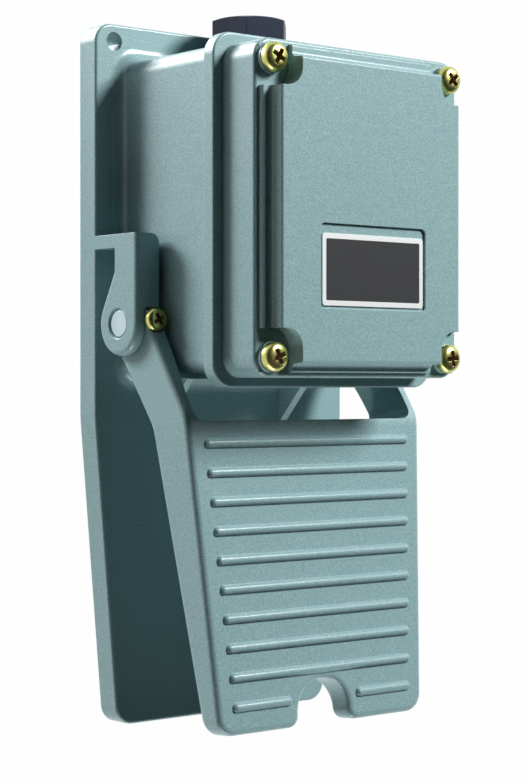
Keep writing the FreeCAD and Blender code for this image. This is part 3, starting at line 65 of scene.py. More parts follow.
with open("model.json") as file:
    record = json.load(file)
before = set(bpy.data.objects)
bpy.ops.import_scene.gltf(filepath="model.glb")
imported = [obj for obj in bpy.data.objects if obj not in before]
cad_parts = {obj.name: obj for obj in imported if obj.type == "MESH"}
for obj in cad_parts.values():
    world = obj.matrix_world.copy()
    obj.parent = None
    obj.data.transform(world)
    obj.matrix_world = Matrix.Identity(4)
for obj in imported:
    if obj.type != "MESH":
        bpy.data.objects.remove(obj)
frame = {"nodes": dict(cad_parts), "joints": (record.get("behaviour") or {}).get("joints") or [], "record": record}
CAD_LOW, CAD_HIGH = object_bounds()

NODES = frame["nodes"]
HINGE = Vector(frame["joints"][0]["pos_m"])
MM = 0.001

# Proportions of a pan head: shares of its radius, or of its height where the name says so. The
# tip's chamfer is a share of the shank's radius.
HEAD_FLAT = 0.42
HEAD_SEAT = 0.97
HEAD_FOOT_HEIGHT = 0.05
HEAD_RIM_HEIGHT = 0.34
HEAD_STEPS = 9
TIP_CHAMFER = 0.3

# The cross recess: its wings and slots are shares of the head's radius, and its depth is a share of
# the height. The blades narrow to the last two towards the bottom.
RECESS_WING = 0.58
RECESS_SLOT = 0.19
RECESS_DEPTH = 0.72
BLADE_TIP = 0.42
BLADE_TAPER = 0.62

# Steps of the meshes.
COIL_STEPS = 28
WIRE_SIDES = 12
CORNER_STEPS = 6
FLOOR_SEGMENTS = 96
SWEEP_STEPS = 10

# Name, setting of the strength, direction from the switch, width and height in metres.
SOFTBOXES = (
    ("key_softbox", "key_power", (0.50, 0.55, 0.67), (0.45, 0.45)),
    ("rear_softbox", "rear_power", (-0.47, 0.54, -0.70), (0.5, 0.5)),
    ("edge_softbox", "edge_power", (-0.06, 0.66, -0.75), (0.30, 0.30)),
    ("low_softbox", "low_power", (-0.10, -1.0, 0.0), (1.2, 0.4)),
)


def length(name, description, millimetres):
    """A size that a user would change, kept in metres."""
    return FloatProperty(
        name=name, description=description, default=millimetres * MM, unit="LENGTH", precision=5
    )


def share(name, description, value):
    """A plain factor from 0 to 1."""
    return FloatProperty(
        name=name, description=description, default=value, subtype="FACTOR", min=0, max=1
    )


def number(name, description, value):
    """A plain number without a unit."""
    return FloatProperty(name=name, description=description, default=value)


def angle(name, description, degrees):
    """An angle, kept in radians."""
    return FloatProperty(
        name=name, description=description, default=math.radians(degrees), subtype="ANGLE"
    )


def tint(name, description, colour):
    """A colour in linear light."""
    return FloatVectorProperty(
        name=name, description=description, default=colour, size=3, subtype="COLOR", min=0, max=1
    )


def power(name, description, watts):
    """Strength of a lamp."""
    return FloatProperty(name=name, description=description, default=watts, unit="POWER", min=0)


class PaintSettings(bpy.types.PropertyGroup):
    """Enamel on the three castings."""

    colour: tint("Enamel", "Grey-green of the hammertone enamel", (0.250, 0.394, 0.408))
    fleck: tint("Fleck", "Paler metal flecks in the enamel", (0.36, 0.53, 0.545))
    shade: tint("Shade", "Darker tone between the flecks", (0.150, 0.275, 0.290))
    peel: length("Peel", "Size of the hammertone's ripples", 0.8)
    grain: length("Grain", "Size of the fine grit in the enamel", 0.40)
    cloud: length("Cloud", "Size of the slow drift in tone", 24.0)
    relief: length("Relief", "Height of the ripples", 0.085)
    edge: length("Edge", "Rounding that the enamel gives to a sharp edge", 0.4)
    roughness: share("Roughness", "Gloss of the enamel, 0 is a mirror", 0.36)
    coat: share("Coat", "Mean weight of the enamel's glossy skin", 0.32)


class ScrewSettings(bpy.types.PropertyGroup):
    """Pan heads with a cross recess, yellow passivated."""

    gold: tint("Gold", "Main tone of the passivated zinc", (0.70, 0.63, 0.22))
    green: tint("Green", "Greenish tone in its film", (0.46, 0.56, 0.15))
    rose: tint("Rose", "Reddish tone in its film", (0.60, 0.42, 0.24))
    # The recess tone is painted shade: a dark brown that darkens the cross recess, over the film's own brown.
    painted_recess_shade: tint("Recess", "Brown of the film in the recess", (0.16, 0.11, 0.045))
    head_radius: length("Lid head radius", "Radius of a lid screw's head", 5.0)
    head_height: length("Lid head height", "Height of a lid screw's head", 3.7)
    shank_radius: length("Lid shank radius", "Radius of a lid screw's shank", 2.5)
    ear_head_radius: length("Ear head radius", "Radius of a locking screw's head", 4.2)
    ear_head_height: length("Ear head height", "Height of a locking screw's head", 2.7)
    ear_shank_radius: length("Ear shank radius", "Radius of a locking screw's shank", 2.0)
    ear_seat: length("Ear seat", "Height of the ear's pad above the shaft's axis", 12.9)
    ear_tip: length("Ear tip", "Height of a locking screw's end above the shaft's axis", 3.0)
    ear_tilt: angle("Ear tilt", "Tilt of the locking screws with the pedal at rest", 4.9)
    segments: IntProperty(name="Segments", description="Steps round a head", default=64, min=16)


class PlateSettings(bpy.types.PropertyGroup):
    """Blank rating plate: a pale frame round a black field."""

    frame_width: length("Frame width", "Width of the pale frame", 1.75)
    etch: length("Etch", "Depth of the black field below the frame", 0.08)
    corner: length("Corner", "Radius of the plate's corners", 1.2)
    field_corner: length("Field corner", "Radius of the field's corners", 0.5)
    chamfer: length("Chamfer", "Broken edge round the plate's top", 0.15)
    metal: tint("Metal", "Anodised aluminium of the frame", (0.86, 0.88, 0.88))
    field: tint("Field", "Black of the field", (0.022, 0.023, 0.026))
    bloom: tint("Bloom", "Faint dust on the field", (0.045, 0.048, 0.052))


class MetalSettings(bpy.types.PropertyGroup):
    """Steel, bronze and brass without paint."""

    turned_steel: tint("Turned steel", "Blue-white of the shaft's turned ends", (0.46, 0.585, 0.62))
    turned_pitch: length("Turned pitch", "Distance between the turned rings", 0.35)
    plated_steel: tint("Plated steel", "Lever, bracket and inside screws", (0.66, 0.68, 0.70))
    spring_steel: tint("Spring steel", "Oiled wire of the springs", (0.32, 0.33, 0.36))
    bronze: tint("Bronze", "Sintered bushes", (0.60, 0.42, 0.22))
    brass: tint("Brass", "Contact strips and earth terminal", (0.78, 0.58, 0.26))


class MouldingSettings(bpy.types.PropertyGroup):
    """Plastics and rubber."""

    polyamide: tint("Polyamide", "Blue-black of the gland", (0.007, 0.013, 0.032))
    rubber: tint("Rubber", "Black of the seals and the buffer", (0.020, 0.020, 0.022))
    phenolic: tint("Phenolic", "Dark brown of the contact block", (0.035, 0.028, 0.024))
    acetal: tint("Acetal", "Cream of the plunger", (0.72, 0.70, 0.62))
    gland_edge: length("Gland edge", "Rounding of the gland's moulded edges", 0.35)
    block_edge: length("Block edge", "Rounding of the contact block's edges", 0.25)
    soft_edge: length("Soft edge", "Rounding of the rubber's and the plunger's edges", 0.2)
    skin: length("Skin", "Size of the grain on a moulded face", 0.25)


class SpringSettings(bpy.types.PropertyGroup):
    """The two compression springs inside the box."""

    return_wire: length("Return wire", "Thickness of the return spring's wire", 1.8)
    return_turns: number("Return turns", "Turns of the return spring", 5.5)
    contact_wire: length("Contact wire", "Thickness of the contact spring's wire", 0.8)
    contact_turns: number("Contact turns", "Turns of the contact spring", 6.5)
    closed_pitch: number("Closed pitch", "Rise of an end turn, in thicknesses of the wire", 1.06)


class StageSettings(bpy.types.PropertyGroup):
    """Camera, lamps and floor."""

    camera_place: FloatVectorProperty(
        name="Camera",
        description="Where the camera stands",
        default=(-0.464896, -0.005881, 0.591426),
        unit="LENGTH",
        precision=4,
    )
    camera_turn: angle("Turn", "Angle between the view and straight down on the lid", 39.760)
    camera_pitch: angle("Pitch", "Tilt of the view towards the cable end", -0.1875)
    focal_pixels: number("Focal length", "In pixels of the picture", 1997.9)
    picture_height: IntProperty(
        name="Picture height", description="Pixels along the picture's long side", default=784
    )
    lamp_distance: length("Lamp distance", "From the middle of the switch to each lamp", 1500.0)
    key_power: power("Key softbox", "Lamp above, at the right of the cable end", 32.0)
    rear_power: power("Rear softbox", "Lamp beyond the left side, below the floor", 28.5)
    edge_power: power("Edge softbox", "Small lamp that draws the castings' upper corners", 12.0)
    low_power: power("Low softbox", "Lamp at the pedal's end", 16.0)
    ambient: share("Ambient", "Level of the room's light", 0.012)
    floor_radius: length("Floor radius", "Radius of the flat floor", 3000.0)
    floor_gap: length("Floor gap", "Room between the floor and the base", 0.2)
    sweep_height: length("Sweep height", "Height of the floor's raised rim", 1300.0)
    floor_grey: share("Floor grey", "Tone of the floor where light falls on it", 0.45)
    floor_white: share("Floor white", "How much of the floor's tone ignores shadow", 0.985)


class FootSwitchSettings(bpy.types.PropertyGroup):
    """All settings of the foot switch."""

    paint: PointerProperty(type=PaintSettings)
    screws: PointerProperty(type=ScrewSettings)
    plate: PointerProperty(type=PlateSettings)
    metals: PointerProperty(type=MetalSettings)
    mouldings: PointerProperty(type=MouldingSettings)
    springs: PointerProperty(type=SpringSettings)
    stage: PointerProperty(type=StageSettings)


class Wire:
    """An output socket that joins in Python arithmetic by adding Math nodes."""

    def __init__(self, finish, socket):
        self.finish = finish
        self.socket = socket

    def maths(self, operation, first, second):
        return self.finish.node("ShaderNodeMath", {"operation": operation}, {0: first, 1: second})

    def __add__(self, other):
        return self.maths("ADD", self, other)

    def __radd__(self, other):
        return self.maths("ADD", other, self)

    def __sub__(self, other):
        return self.maths("SUBTRACT", self, other)

    def __rsub__(self, other):
        return self.maths("SUBTRACT", other, self)

    def __mul__(self, other):
        return self.maths("MULTIPLY", self, other)

    def __rmul__(self, other):
        return self.maths("MULTIPLY", other, self)


class Finish:
    """One material. node() adds any node, and feed() leads a wire to the shader."""

    def __init__(self, name, constants):
        self.material = bpy.data.materials.new(name)
        self.material.use_nodes = True
        self.tree = self.material.node_tree
        self.shader = self.tree.nodes["Principled BSDF"]
        for socket, value in constants.items():
            self.shader.inputs[socket].default_value = value

    def node(self, kind, settings=None, inputs=None, output=0):
        """Any node: its settings come first, then the values or wires of its inputs."""
        made = self.tree.nodes.new(kind)
        for key, value in (settings or {}).items():
            if key == "stops":
                self.set_stops(made.color_ramp, value)
            else:
                setattr(made, key, value)
        for key, value in (inputs or {}).items():
            if isinstance(value, Wire):
                self.tree.links.new(value.socket, made.inputs[key])
            else:
                made.inputs[key].default_value = value
        return Wire(self, made.outputs[output])

    def set_stops(self, ramp, stops):
        while len(ramp.elements) < len(stops):
            ramp.elements.new(1.0)
        for element, (place, grey) in zip(ramp.elements, stops):
            element.position = place
            element.color = (grey, grey, grey, 1.0)

    def place(self):
        """Position on the object at rest, in metres."""
        return self.node("ShaderNodeTexCoord", output="Object")

    def noise(self, where, size, detail=2.0, roughness=0.5):
        """Soft noise from 0 to 1 whose features are about size across, in metres."""
        inputs = {"Vector": where, "Scale": 1.0 / size, "Detail": detail, "Roughness": roughness}
        return self.node("ShaderNodeTexNoise", None, inputs)

    def ramp(self, value, stops):
        """Grey from a list of (place, grey) stops."""
        return self.node("ShaderNodeValToRGB", {"stops": stops}, {0: value})

    def blend(self, factor, first, second):
        """Colour between first and second."""
        inputs = {0: factor, 6: rgba(first), 7: rgba(second)}
        return self.node("ShaderNodeMix", {"data_type": "RGBA"}, inputs, 2)

    def stretch(self, where, scale):
        """Position with each axis scaled by itself."""
        return self.node("ShaderNodeVectorMath", {"operation": "MULTIPLY"}, {0: where, 1: scale})

    def rounded(self, radius):
        """Normal with the sharp edges rounded off."""
        return self.node("ShaderNodeBevel", {"samples": 6}, {"Radius": radius})

    def bump(self, height, distance, normal=None):
        """Normal bent by a height from 0 to 1 that stands for distance, in metres."""
        inputs = {"Height": height, "Distance": distance, "Strength": 1.0}
        if normal:
            inputs["Normal"] = normal
        return self.node("ShaderNodeBump", None, inputs)

    def feed(self, socket, wire):
        self.tree.links.new(wire.socket, self.shader.inputs[socket])


def rgba(colour):
    return colour if isinstance(colour, Wire) else (*colour[:3], 1.0)


def enamel(settings):
    """Hammertone enamel: soft ripples, fine grit and paler flecks."""
    finish = Finish("hammertone_enamel", {"Coat Roughness": 0.12, "Specular IOR Level": 0.24})
    where = finish.place()
    ripple = finish.noise(where, settings.peel, detail=3.0, roughness=0.55)
    grit = finish.noise(where, settings.grain, roughness=0.6)
    cloud = finish.noise(where, settings.cloud)
    fleck = finish.ramp(grit * 0.6 + ripple * 0.4, [(0.50, 0.0), (0.62, 1.0)])
    hollow = finish.ramp(ripple * 0.5 + grit * 0.5, [(0.30, 1.0), (0.47, 0.0)])
    tone = finish.blend(fleck * 0.65, settings.colour, settings.fleck)
    tone = finish.blend(hollow * 0.7 + (cloud - 0.5) * 0.2, tone, settings.shade)
    finish.feed("Base Color", tone)
    finish.feed("Roughness", settings.roughness + (grit - 0.5) * 0.16 + (cloud - 0.5) * 0.1)
    finish.feed("Coat Weight", settings.coat + (ripple - 0.5) * 0.4)
    height = ripple * 0.62 + grit * 0.38
    finish.feed("Normal", finish.bump(height, settings.relief, finish.rounded(settings.edge)))
    return finish.material


def recess_zinc(settings):
    """The recess of a screw, painted dark brown: painted shade in the recess, over the film's own brown and rose
    tones.
    """
    finish = Finish("recess_zinc", {"Metallic": 0.6})
    tarnish = finish.noise(finish.place(), 0.9 * MM, detail=3.0, roughness=0.6)
    finish.feed("Base Color", finish.blend(tarnish * 0.5, settings.painted_recess_shade, settings.rose))
    finish.feed("Roughness", 0.42 + tarnish * 0.2)
    return finish.material


def yellow_zinc(settings):
    """Bright zinc under a thin film that drifts from gold to green and rose."""
    finish = Finish("yellow_zinc", {"Metallic": 0.95})
    where = finish.place()
    drift = finish.noise(where, 4 * MM)
    tarnish = finish.noise(where, 1.1 * MM, detail=3.0, roughness=0.6)
    film = finish.blend(finish.ramp(drift, [(0.40, 0.0), (0.58, 1.0)]), settings.gold, settings.green)
    film = finish.blend(finish.ramp(tarnish, [(0.50, 0.0), (0.66, 1.0)]) * 0.7, film, settings.rose)
    finish.feed("Base Color", film)
    finish.feed("Roughness", 0.20 + tarnish * 0.22)
    fine = finish.noise(where, 0.5 * MM)
    finish.feed("Normal", finish.bump(fine, 0.012 * MM, finish.rounded(0.14 * MM)))
    return finish.material


def bright_metal(name, colour, roughness, metallic=1.0, turned_pitch=None):
    """Metal with a fine drawn grain along X, or with turned rings round the shaft's axis."""
    finish = Finish(name, {"Metallic": metallic})
    where = finish.place()
    if turned_pitch is None:
        grain = finish.noise(finish.stretch(where, (0.06, 1.0, 1.0)), 0.12 * MM)
    else:
        centre = {0: where, 1: tuple(HINGE)}
        offset = finish.node("ShaderNodeVectorMath", {"operation": "SUBTRACT"}, centre)
        flat = finish.stretch(offset, (0.0, 1.0, 1.0))
        radius = finish.node("ShaderNodeVectorMath", {"operation": "LENGTH"}, {0: flat}, "Value")
        phase = radius * (2 * math.pi / turned_pitch)
        rings = finish.node("ShaderNodeMath", {"operation": "SINE"}, {0: phase})
        grain = rings * 0.5 + finish.noise(where, 0.4 * MM)
    stain = finish.noise(where, 6 * MM, detail=3.0)
    darker = [0.8 * part for part in colour]
    finish.feed("Base Color", finish.blend(finish.ramp(stain, [(0.4, 0.0), (0.8, 1.0)]), colour, darker))
    finish.feed("Roughness", roughness + (grain - 0.5) * 0.08 + (stain - 0.5) * 0.1)
    finish.feed("Normal", finish.bump(grain, 0.006 * MM, finish.rounded(0.12 * MM)))
    return finish.material


def moulded(name, colour, roughness, edge, grain):
    """Moulded plastic or rubber with a spark-eroded skin."""
    finish = Finish(name, {"Specular IOR Level": 0.22})
    where = finish.place()
    skin = finish.noise(where, grain, roughness=0.6)
    cloud = finish.noise(where, 9 * MM, detail=3.0)
    paler = [min(1.0, part * 1.5 + 0.004) for part in colour]
    finish.feed("Base Color", finish.blend(cloud * 0.6, colour, paler))
    finish.feed("Roughness", roughness + (skin - 0.5) * 0.2 + (cloud - 0.5) * 0.12)
    finish.feed("Normal", finish.bump(skin, 0.012 * MM, finish.rounded(edge)))
    return finish.material


def plate_metal(settings):
    """Brushed, anodised aluminium of the plate's frame."""
    finish = Finish("plate_metal", {"Metallic": 0.15})
    where = finish.place()
    brushed = finish.noise(finish.stretch(where, (0.04, 1.0, 1.0)), 0.1 * MM)
    darker = [0.85 * part for part in settings.metal]
    finish.feed("Base Color", finish.blend(brushed * 0.6, settings.metal, darker))
    finish.feed("Roughness", 0.34 + brushed * 0.14)
    finish.feed("Normal", finish.bump(brushed, 0.004 * MM))
    return finish.material


def plate_field(settings):
    """Black printed field with a faint dusty bloom."""
    finish = Finish("plate_field", {"Specular IOR Level": 0.25})
    where = finish.place()
    bloom = finish.noise(where, 7 * MM, detail=4.0, roughness=0.6)
    print_grain = finish.noise(where, 0.3 * MM)
    finish.feed("Base Color", finish.blend(bloom * 0.5, settings.field, settings.bloom))
    finish.feed("Roughness", 0.58 + bloom * 0.14)
    finish.feed("Normal", finish.bump(print_grain, 0.005 * MM))
    return finish.material


def pale_floor(settings):
    """Pale floor: most of its tone to the camera and in reflections is a plain white."""
    finish = Finish("pale_floor", {"Roughness": 0.9, "Specular IOR Level": 0.1})
    finish.shader.inputs["Base Color"].default_value = rgba([settings.floor_grey] * 3)
    seen = finish.node("ShaderNodeLightPath", output="Is Camera Ray")
    for ray in ("Is Glossy Ray", "Is Transmission Ray"):
        seen = seen.maths("MAXIMUM", seen, finish.node("ShaderNodeLightPath", output=ray))
    glow = finish.node("ShaderNodeEmission", None, {"Color": (1, 1, 1, 1), "Strength": 1.0})
    shaded = Wire(finish, finish.shader.outputs[0])
    mixed = finish.node("ShaderNodeMixShader", None, {0: seen * settings.floor_white, 1: shaded, 2: glow})
    output = finish.tree.nodes["Material Output"]
    finish.tree.links.new(mixed.socket, output.inputs["Surface"])
    return finish.material


def dress(material, *names):
    """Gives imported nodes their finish."""
    for name in names:
        mesh = NODES[name].data
        mesh.materials.clear()
        mesh.materials.append(material)


def rider(name, mesh, body, slot, *materials):
    """A new piece at rest in the frame, riding on a body."""
    for material in materials:
        mesh.materials.append(material)
    piece = bpy.data.objects.new(name, mesh)
    bpy.context.scene.collection.objects.link(piece)
    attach(piece, body)
    return piece


def closed_mesh(name, bm):
    """The finished mesh of a bmesh, with its normals outwards."""
    bmesh.ops.recalc_face_normals(bm, faces=bm.faces)
    mesh = bpy.data.meshes.new(name)
    bm.to_mesh(mesh)
    bm.free()
    return mesh


def smooth(mesh, sharp_degrees):
    """Smooth shading, with the edges above an angle kept sharp."""
    mesh.shade_smooth()
    mesh.set_sharp_from_angle(angle=math.radians(sharp_degrees))


def bridge(bm, first, second):
    """Quads between two closed rings of as many points each."""
    count = len(first)
    for i in range(count):
        j = (i + 1) % count
        bm.faces.new([first[i], first[j], second[j], second[i]])


def spun(profile, segments):
    """Mesh of an outline of (radius, z) points turned about Z; a point at radius 0 closes an end."""
    bm = bmesh.new()
    rings = []
    for radius, z in profile:
        if radius == 0:
            rings.append([bm.verts.new((0, 0, z))])
            continue
        angles = [2 * math.pi * i / segments for i in range(segments)]
        rings.append([bm.verts.new((radius * math.cos(a), radius * math.sin(a), z)) for a in angles])
    for low, high in zip(rings, rings[1:]):
        for i in range(segments):
            j = (i + 1) % segments
            corners = [low[i % len(low)], low[j % len(low)], high[j % len(high)], high[i % len(high)]]
            bm.faces.new(list(dict.fromkeys(corners)))
    return closed_mesh("spun", bm)


def cross_cutter(wing, half_slot, depth, top):
    """Two tapered blades at right angles, which leave the recess of a cross-head screw."""
    bm = bmesh.new()
    outline = [
        (-wing, top + wing),
        (wing, top + wing),
        (wing, top),
        (wing * BLADE_TIP, top - depth),
        (-wing * BLADE_TIP, top - depth),
        (-wing, top),
    ]
    for turn in (0, 90):
        spin = Matrix.Rotation(math.radians(turn), 4, "Z")
        sides = []
        for x in (-half_slot, half_slot):
            points = [(x * (BLADE_TAPER if z < top else 1.0), y, z) for y, z in outline]
            sides.append([bm.verts.new(spin @ Vector(point)) for point in points])
        bridge(bm, *sides)
        bm.faces.new(sides[0])
        bm.faces.new(sides[1][::-1])
    # The blades' faces give the recess its second material, whose dark brown is painted shade.
    for face in bm.faces:
        face.material_index = 1
    return closed_mesh("cross_cutter", bm)


def carved(mesh, cutter):
    """The mesh with the cutter taken away."""
    blank = bpy.data.objects.new("blank", mesh)
    tool = bpy.data.objects.new("tool", cutter)
    for thing in (blank, tool):
        bpy.context.scene.collection.objects.link(thing)
    cut = blank.modifiers.new("cut", "BOOLEAN")
    cut.object = tool
    cut.operation = "DIFFERENCE"
    cut.solver = "EXACT"
    cut.use_self = True
    bpy.context.view_layer.update()
    evaluated = blank.evaluated_get(bpy.context.evaluated_depsgraph_get())
    result = bpy.data.meshes.new_from_object(evaluated)
    for thing in (blank, tool):
        bpy.data.objects.remove(thing)
    if not result.polygons:
        raise RuntimeError("the recess left nothing of a screw")
    return result


def pan_screw(radius, height, shank, reach, segments):
    """Pan-head screw with a cross recess, seat at the origin and head towards +Z."""
    tip = shank * TIP_CHAMFER
    rim = height * HEAD_RIM_HEIGHT
    profile = [
        (0, -reach),
        (shank - tip, -reach),
        (shank, tip - reach),
        (shank, 0),
        (radius * HEAD_SEAT, 0),
        (radius, height * HEAD_FOOT_HEIGHT),
        (radius, rim),
    ]
    for i in range(1, HEAD_STEPS):
        a = math.pi / 2 * i / HEAD_STEPS
        out = HEAD_FLAT + (1 - HEAD_FLAT) * math.cos(a)
        profile.append((radius * out, rim + (height - rim) * math.sin(a)))
    profile += [(radius * HEAD_FLAT, height), (0, height)]
    cutter = cross_cutter(radius * RECESS_WING, radius * RECESS_SLOT, height * RECESS_DEPTH, height)
    mesh = carved(spun(profile, segments), cutter)
    smooth(mesh, 35)
    return mesh


def coil(radius, wire, turns, low, high, closed_pitch):
    """Compression spring about Z from low up to high, with one closed turn at each end."""
    bm = bmesh.new()
    closed = wire * closed_pitch
    opened = (high - low - wire - 2 * closed) / (turns - 2)
    up = Vector((0, 0, 1))
    angles = [2 * math.pi * k / WIRE_SIDES for k in range(WIRE_SIDES)]
    rings = []
    for i in range(int(turns * COIL_STEPS) + 1):
        turn = i / COIL_STEPS
        inner = min(max(turn - 1, 0), turns - 2)
        out = Vector((math.cos(2 * math.pi * turn), math.sin(2 * math.pi * turn), 0))
        centre = out * radius + up * (low + wire / 2 + closed * (turn - inner) + opened * inner)
        spokes = [(out * math.cos(a) + up * math.sin(a)) * wire / 2 for a in angles]
        rings.append([bm.verts.new(centre + spoke) for spoke in spokes])
    for first, second in zip(rings, rings[1:]):
        bridge(bm, first, second)
    bm.faces.new(rings[0][::-1])
    bm.faces.new(rings[-1])
    mesh = closed_mesh("coil", bm)
    smooth(mesh, 60)
    return mesh


def rounded_outline(half_x, half_y, radius):
    """Corners of a rectangle with rounded corners, counter-clockwise."""
    points = []
    for quarter, (sx, sy) in enumerate(((1, 1), (-1, 1), (-1, -1), (1, -1))):
        for i in range(CORNER_STEPS + 1):
            a = math.pi / 2 * (quarter + i / CORNER_STEPS)
            x = sx * (half_x - radius) + radius * math.cos(a)
            y = sy * (half_y - radius) + radius * math.sin(a)
            points.append((x, y))
    return points


class Dresser:
    """What the operators share: they can be undone, and they read the scene's settings."""

    bl_options = {"REGISTER", "UNDO"}

    @property
    def settings(self):
        return bpy.context.scene.foot_switch


class FOOTSWITCH_OT_castings(Dresser, bpy.types.Operator):
    """Enamels the housing, the lid and the pedal"""

    bl_idname = "footswitch.castings"
    bl_label = "Enamel the castings"

    def execute(self, context):
        dress(enamel(self.settings.paint), "housing", "lid", "pedal")
        return {"FINISHED"}


class FOOTSWITCH_OT_screws(Dresser, bpy.types.Operator):
    """Makes the lid's four screws and the two screws that lock the ears to the shaft"""

    bl_idname = "footswitch.screws"
    bl_label = "Make the outside screws"

    # Turns of the heads in degrees, as a hand leaves them.
    LID_TURNS = (24, 63, 8, 41)
    EAR_TURNS = (30, 52)

    def execute(self, context):
        s = self.settings.screws
        # The second finish paints shade into the cross recess.
        zinc = (yellow_zinc(s), recess_zinc(s))
        self.make_lid_screws(s, zinc)
        self.make_ear_screws(s, zinc)
        return {"FINISHED"}

    def make_lid_screws(self, s, zinc):
        low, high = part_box("lid_screws")
        seat = high.z - s.head_height
        places = [
            (x, y)
            for x in (low.x + s.head_radius, high.x - s.head_radius)
            for y in (low.y + s.head_radius, high.y - s.head_radius)
        ]
        for i, ((x, y), turn) in enumerate(zip(places, self.LID_TURNS)):
            mesh = pan_screw(s.head_radius, s.head_height, s.shank_radius, seat - low.z, s.segments)
            spin = Matrix.Rotation(math.radians(turn), 4, "Z")
            mesh.transform(Matrix.Translation((x, y, seat)) @ spin)
            piece = rider("lid_screw_%d" % (i + 1), mesh, "housing", "zinc_yellow", *zinc)
            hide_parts("lid_screws")

    def make_ear_screws(self, s, zinc):
        low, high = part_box("locking_screws")
        tilt = Matrix.Translation(HINGE) @ Matrix.Rotation(-s.ear_tilt, 4, "X")
        reach = s.ear_seat - s.ear_tip
        places = (low.x + s.ear_head_radius, high.x - s.ear_head_radius)
        for i, (x, turn) in enumerate(zip(places, self.EAR_TURNS)):
            mesh = pan_screw(s.ear_head_radius, s.ear_head_height, s.ear_shank_radius, reach, s.segments)
            spin = Matrix.Rotation(math.radians(turn), 4, "Z")
            mesh.transform(tilt @ Matrix.Translation((x, 0, s.ear_seat)) @ spin)
            piece = rider("ear_screw_%d" % (i + 1), mesh, "pedal", "zinc_yellow", *zinc)
            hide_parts("locking_screws")


class FOOTSWITCH_OT_plate(Dresser, bpy.types.Operator):
    """Makes the blank rating plate: pale frame, black field"""

    bl_idname = "footswitch.plate"
    bl_label = "Make the rating plate"

    def execute(self, context):
        s = self.settings.plate
        low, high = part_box("rating_plate")
        middle = (low + high) / 2
        half = (high - low) / 2
        rims = (
            (0.0, low.z, s.corner),
            (0.0, high.z - s.chamfer, s.corner),
            (s.chamfer, high.z, s.corner - s.chamfer),
            (s.frame_width, high.z, s.field_corner),
            (s.frame_width + s.etch, high.z - s.etch, s.field_corner),
        )
        bm = bmesh.new()
        rings = []
        for inset, z, radius in rims:
            outline = rounded_outline(half.x - inset, half.y - inset, radius)
            rings.append([bm.verts.new((middle.x + x, middle.y + y, z)) for x, y in outline])
        for lower, upper in zip(rings, rings[1:]):
            bridge(bm, lower, upper)
        bm.faces.new(rings[0][::-1])
        bm.faces.new(rings[-1]).material_index = 1
        mesh = closed_mesh("rating_plate_blank", bm)
        piece = rider("rating_plate_blank", mesh, "housing", "plate", plate_metal(s), plate_field(s))
        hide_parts("rating_plate")
        return {"FINISHED"}


class FOOTSWITCH_OT_shaft(Dresser, bpy.types.Operator):
    """Finishes the shaft and its bushes"""

    bl_idname = "footswitch.shaft"
    bl_label = "Finish the shaft"

    def execute(self, context):
        s = self.settings.metals
        turned = bright_metal(
            "turned_steel", s.turned_steel, roughness=0.5, metallic=0.35, turned_pitch=s.turned_pitch
        )
        dress(turned, "pivot_shaft")
        dress(bright_metal("bronze", s.bronze, roughness=0.42), "shaft_bushes")
        return {"FINISHED"}


class FOOTSWITCH_OT_seals(Dresser, bpy.types.Operator):
    """Finishes the rubber seals and the stop buffer"""

    bl_idname = "footswitch.seals"
    bl_label = "Finish the seals"

    def execute(self, context):
        s = self.settings.mouldings
        rubber = moulded("nitrile_rubber", s.rubber, roughness=0.72, edge=s.soft_edge, grain=s.skin)
        dress(rubber, "shaft_seals", "lid_gasket", "stop_buffer", "gland_bush", "gland_gasket")
        return {"FINISHED"}


class FOOTSWITCH_OT_gland(Dresser, bpy.types.Operator):
    """Finishes the cable gland"""

    bl_idname = "footswitch.gland"
    bl_label = "Finish the gland"

    def execute(self, context):
        s = self.settings.mouldings
        black = moulded("polyamide", s.polyamide, roughness=0.42, edge=s.gland_edge, grain=s.skin)
        dress(black, "gland_body", "gland_nut", "gland_locknut")
        return {"FINISHED"}


class FOOTSWITCH_OT_mechanism(Dresser, bpy.types.Operator):
    """Finishes the lever, the bracket and the screws inside the box"""

    bl_idname = "footswitch.mechanism"
    bl_label = "Finish the mechanism"

    def execute(self, context):
        plated = bright_metal("plated_steel", self.settings.metals.plated_steel, roughness=0.34)
        dress(plated, "lever", "bracket", "spring_guide", "bracket_screws", "block_screws")
        dress(plated, "cover_screws", "terminal_screws", "lever_screw")
        return {"FINISHED"}


class FOOTSWITCH_OT_springs(Dresser, bpy.types.Operator):
    """Winds the return spring and the contact spring at rest"""

    bl_idname = "footswitch.springs"
    bl_label = "Wind the springs"

    def execute(self, context):
        s = self.settings.springs
        steel = bright_metal("spring_steel", self.settings.metals.spring_steel, roughness=0.30)
        hinge, slide = frame["record"]["behaviour"]["joints"]
        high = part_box("return_spring")[1]
        lift = (high.y - HINGE.y) * math.sin(math.radians(hinge["range_deg"][1]))
        wire = (s.return_wire, s.return_turns, s.closed_pitch, steel)
        self.wind("return_coil", "return_spring", wire, hinge["name"], lift)
        wire = (s.contact_wire, s.contact_turns, s.closed_pitch, steel)
        self.wind("contact_coil", "plunger_spring", wire, slide["name"], slide["range_m"][1])
        return {"FINISHED"}

    def wind(self, name, node, wire, joint, lift):
        """A coil in the node's place. The joint and lift are not used."""
        thickness, turns, closed_pitch, steel = wire
        low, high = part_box(node)
        middle = (low + high) / 2
        radius = (high.x - low.x - thickness) / 2
        mesh = coil(radius, thickness, turns, low.z, high.z, closed_pitch)
        mesh.transform(Matrix.Translation((middle.x, middle.y, 0)))
        piece = rider(name, mesh, "housing", "spring_steel", steel)
        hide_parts(node)
        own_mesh(piece)


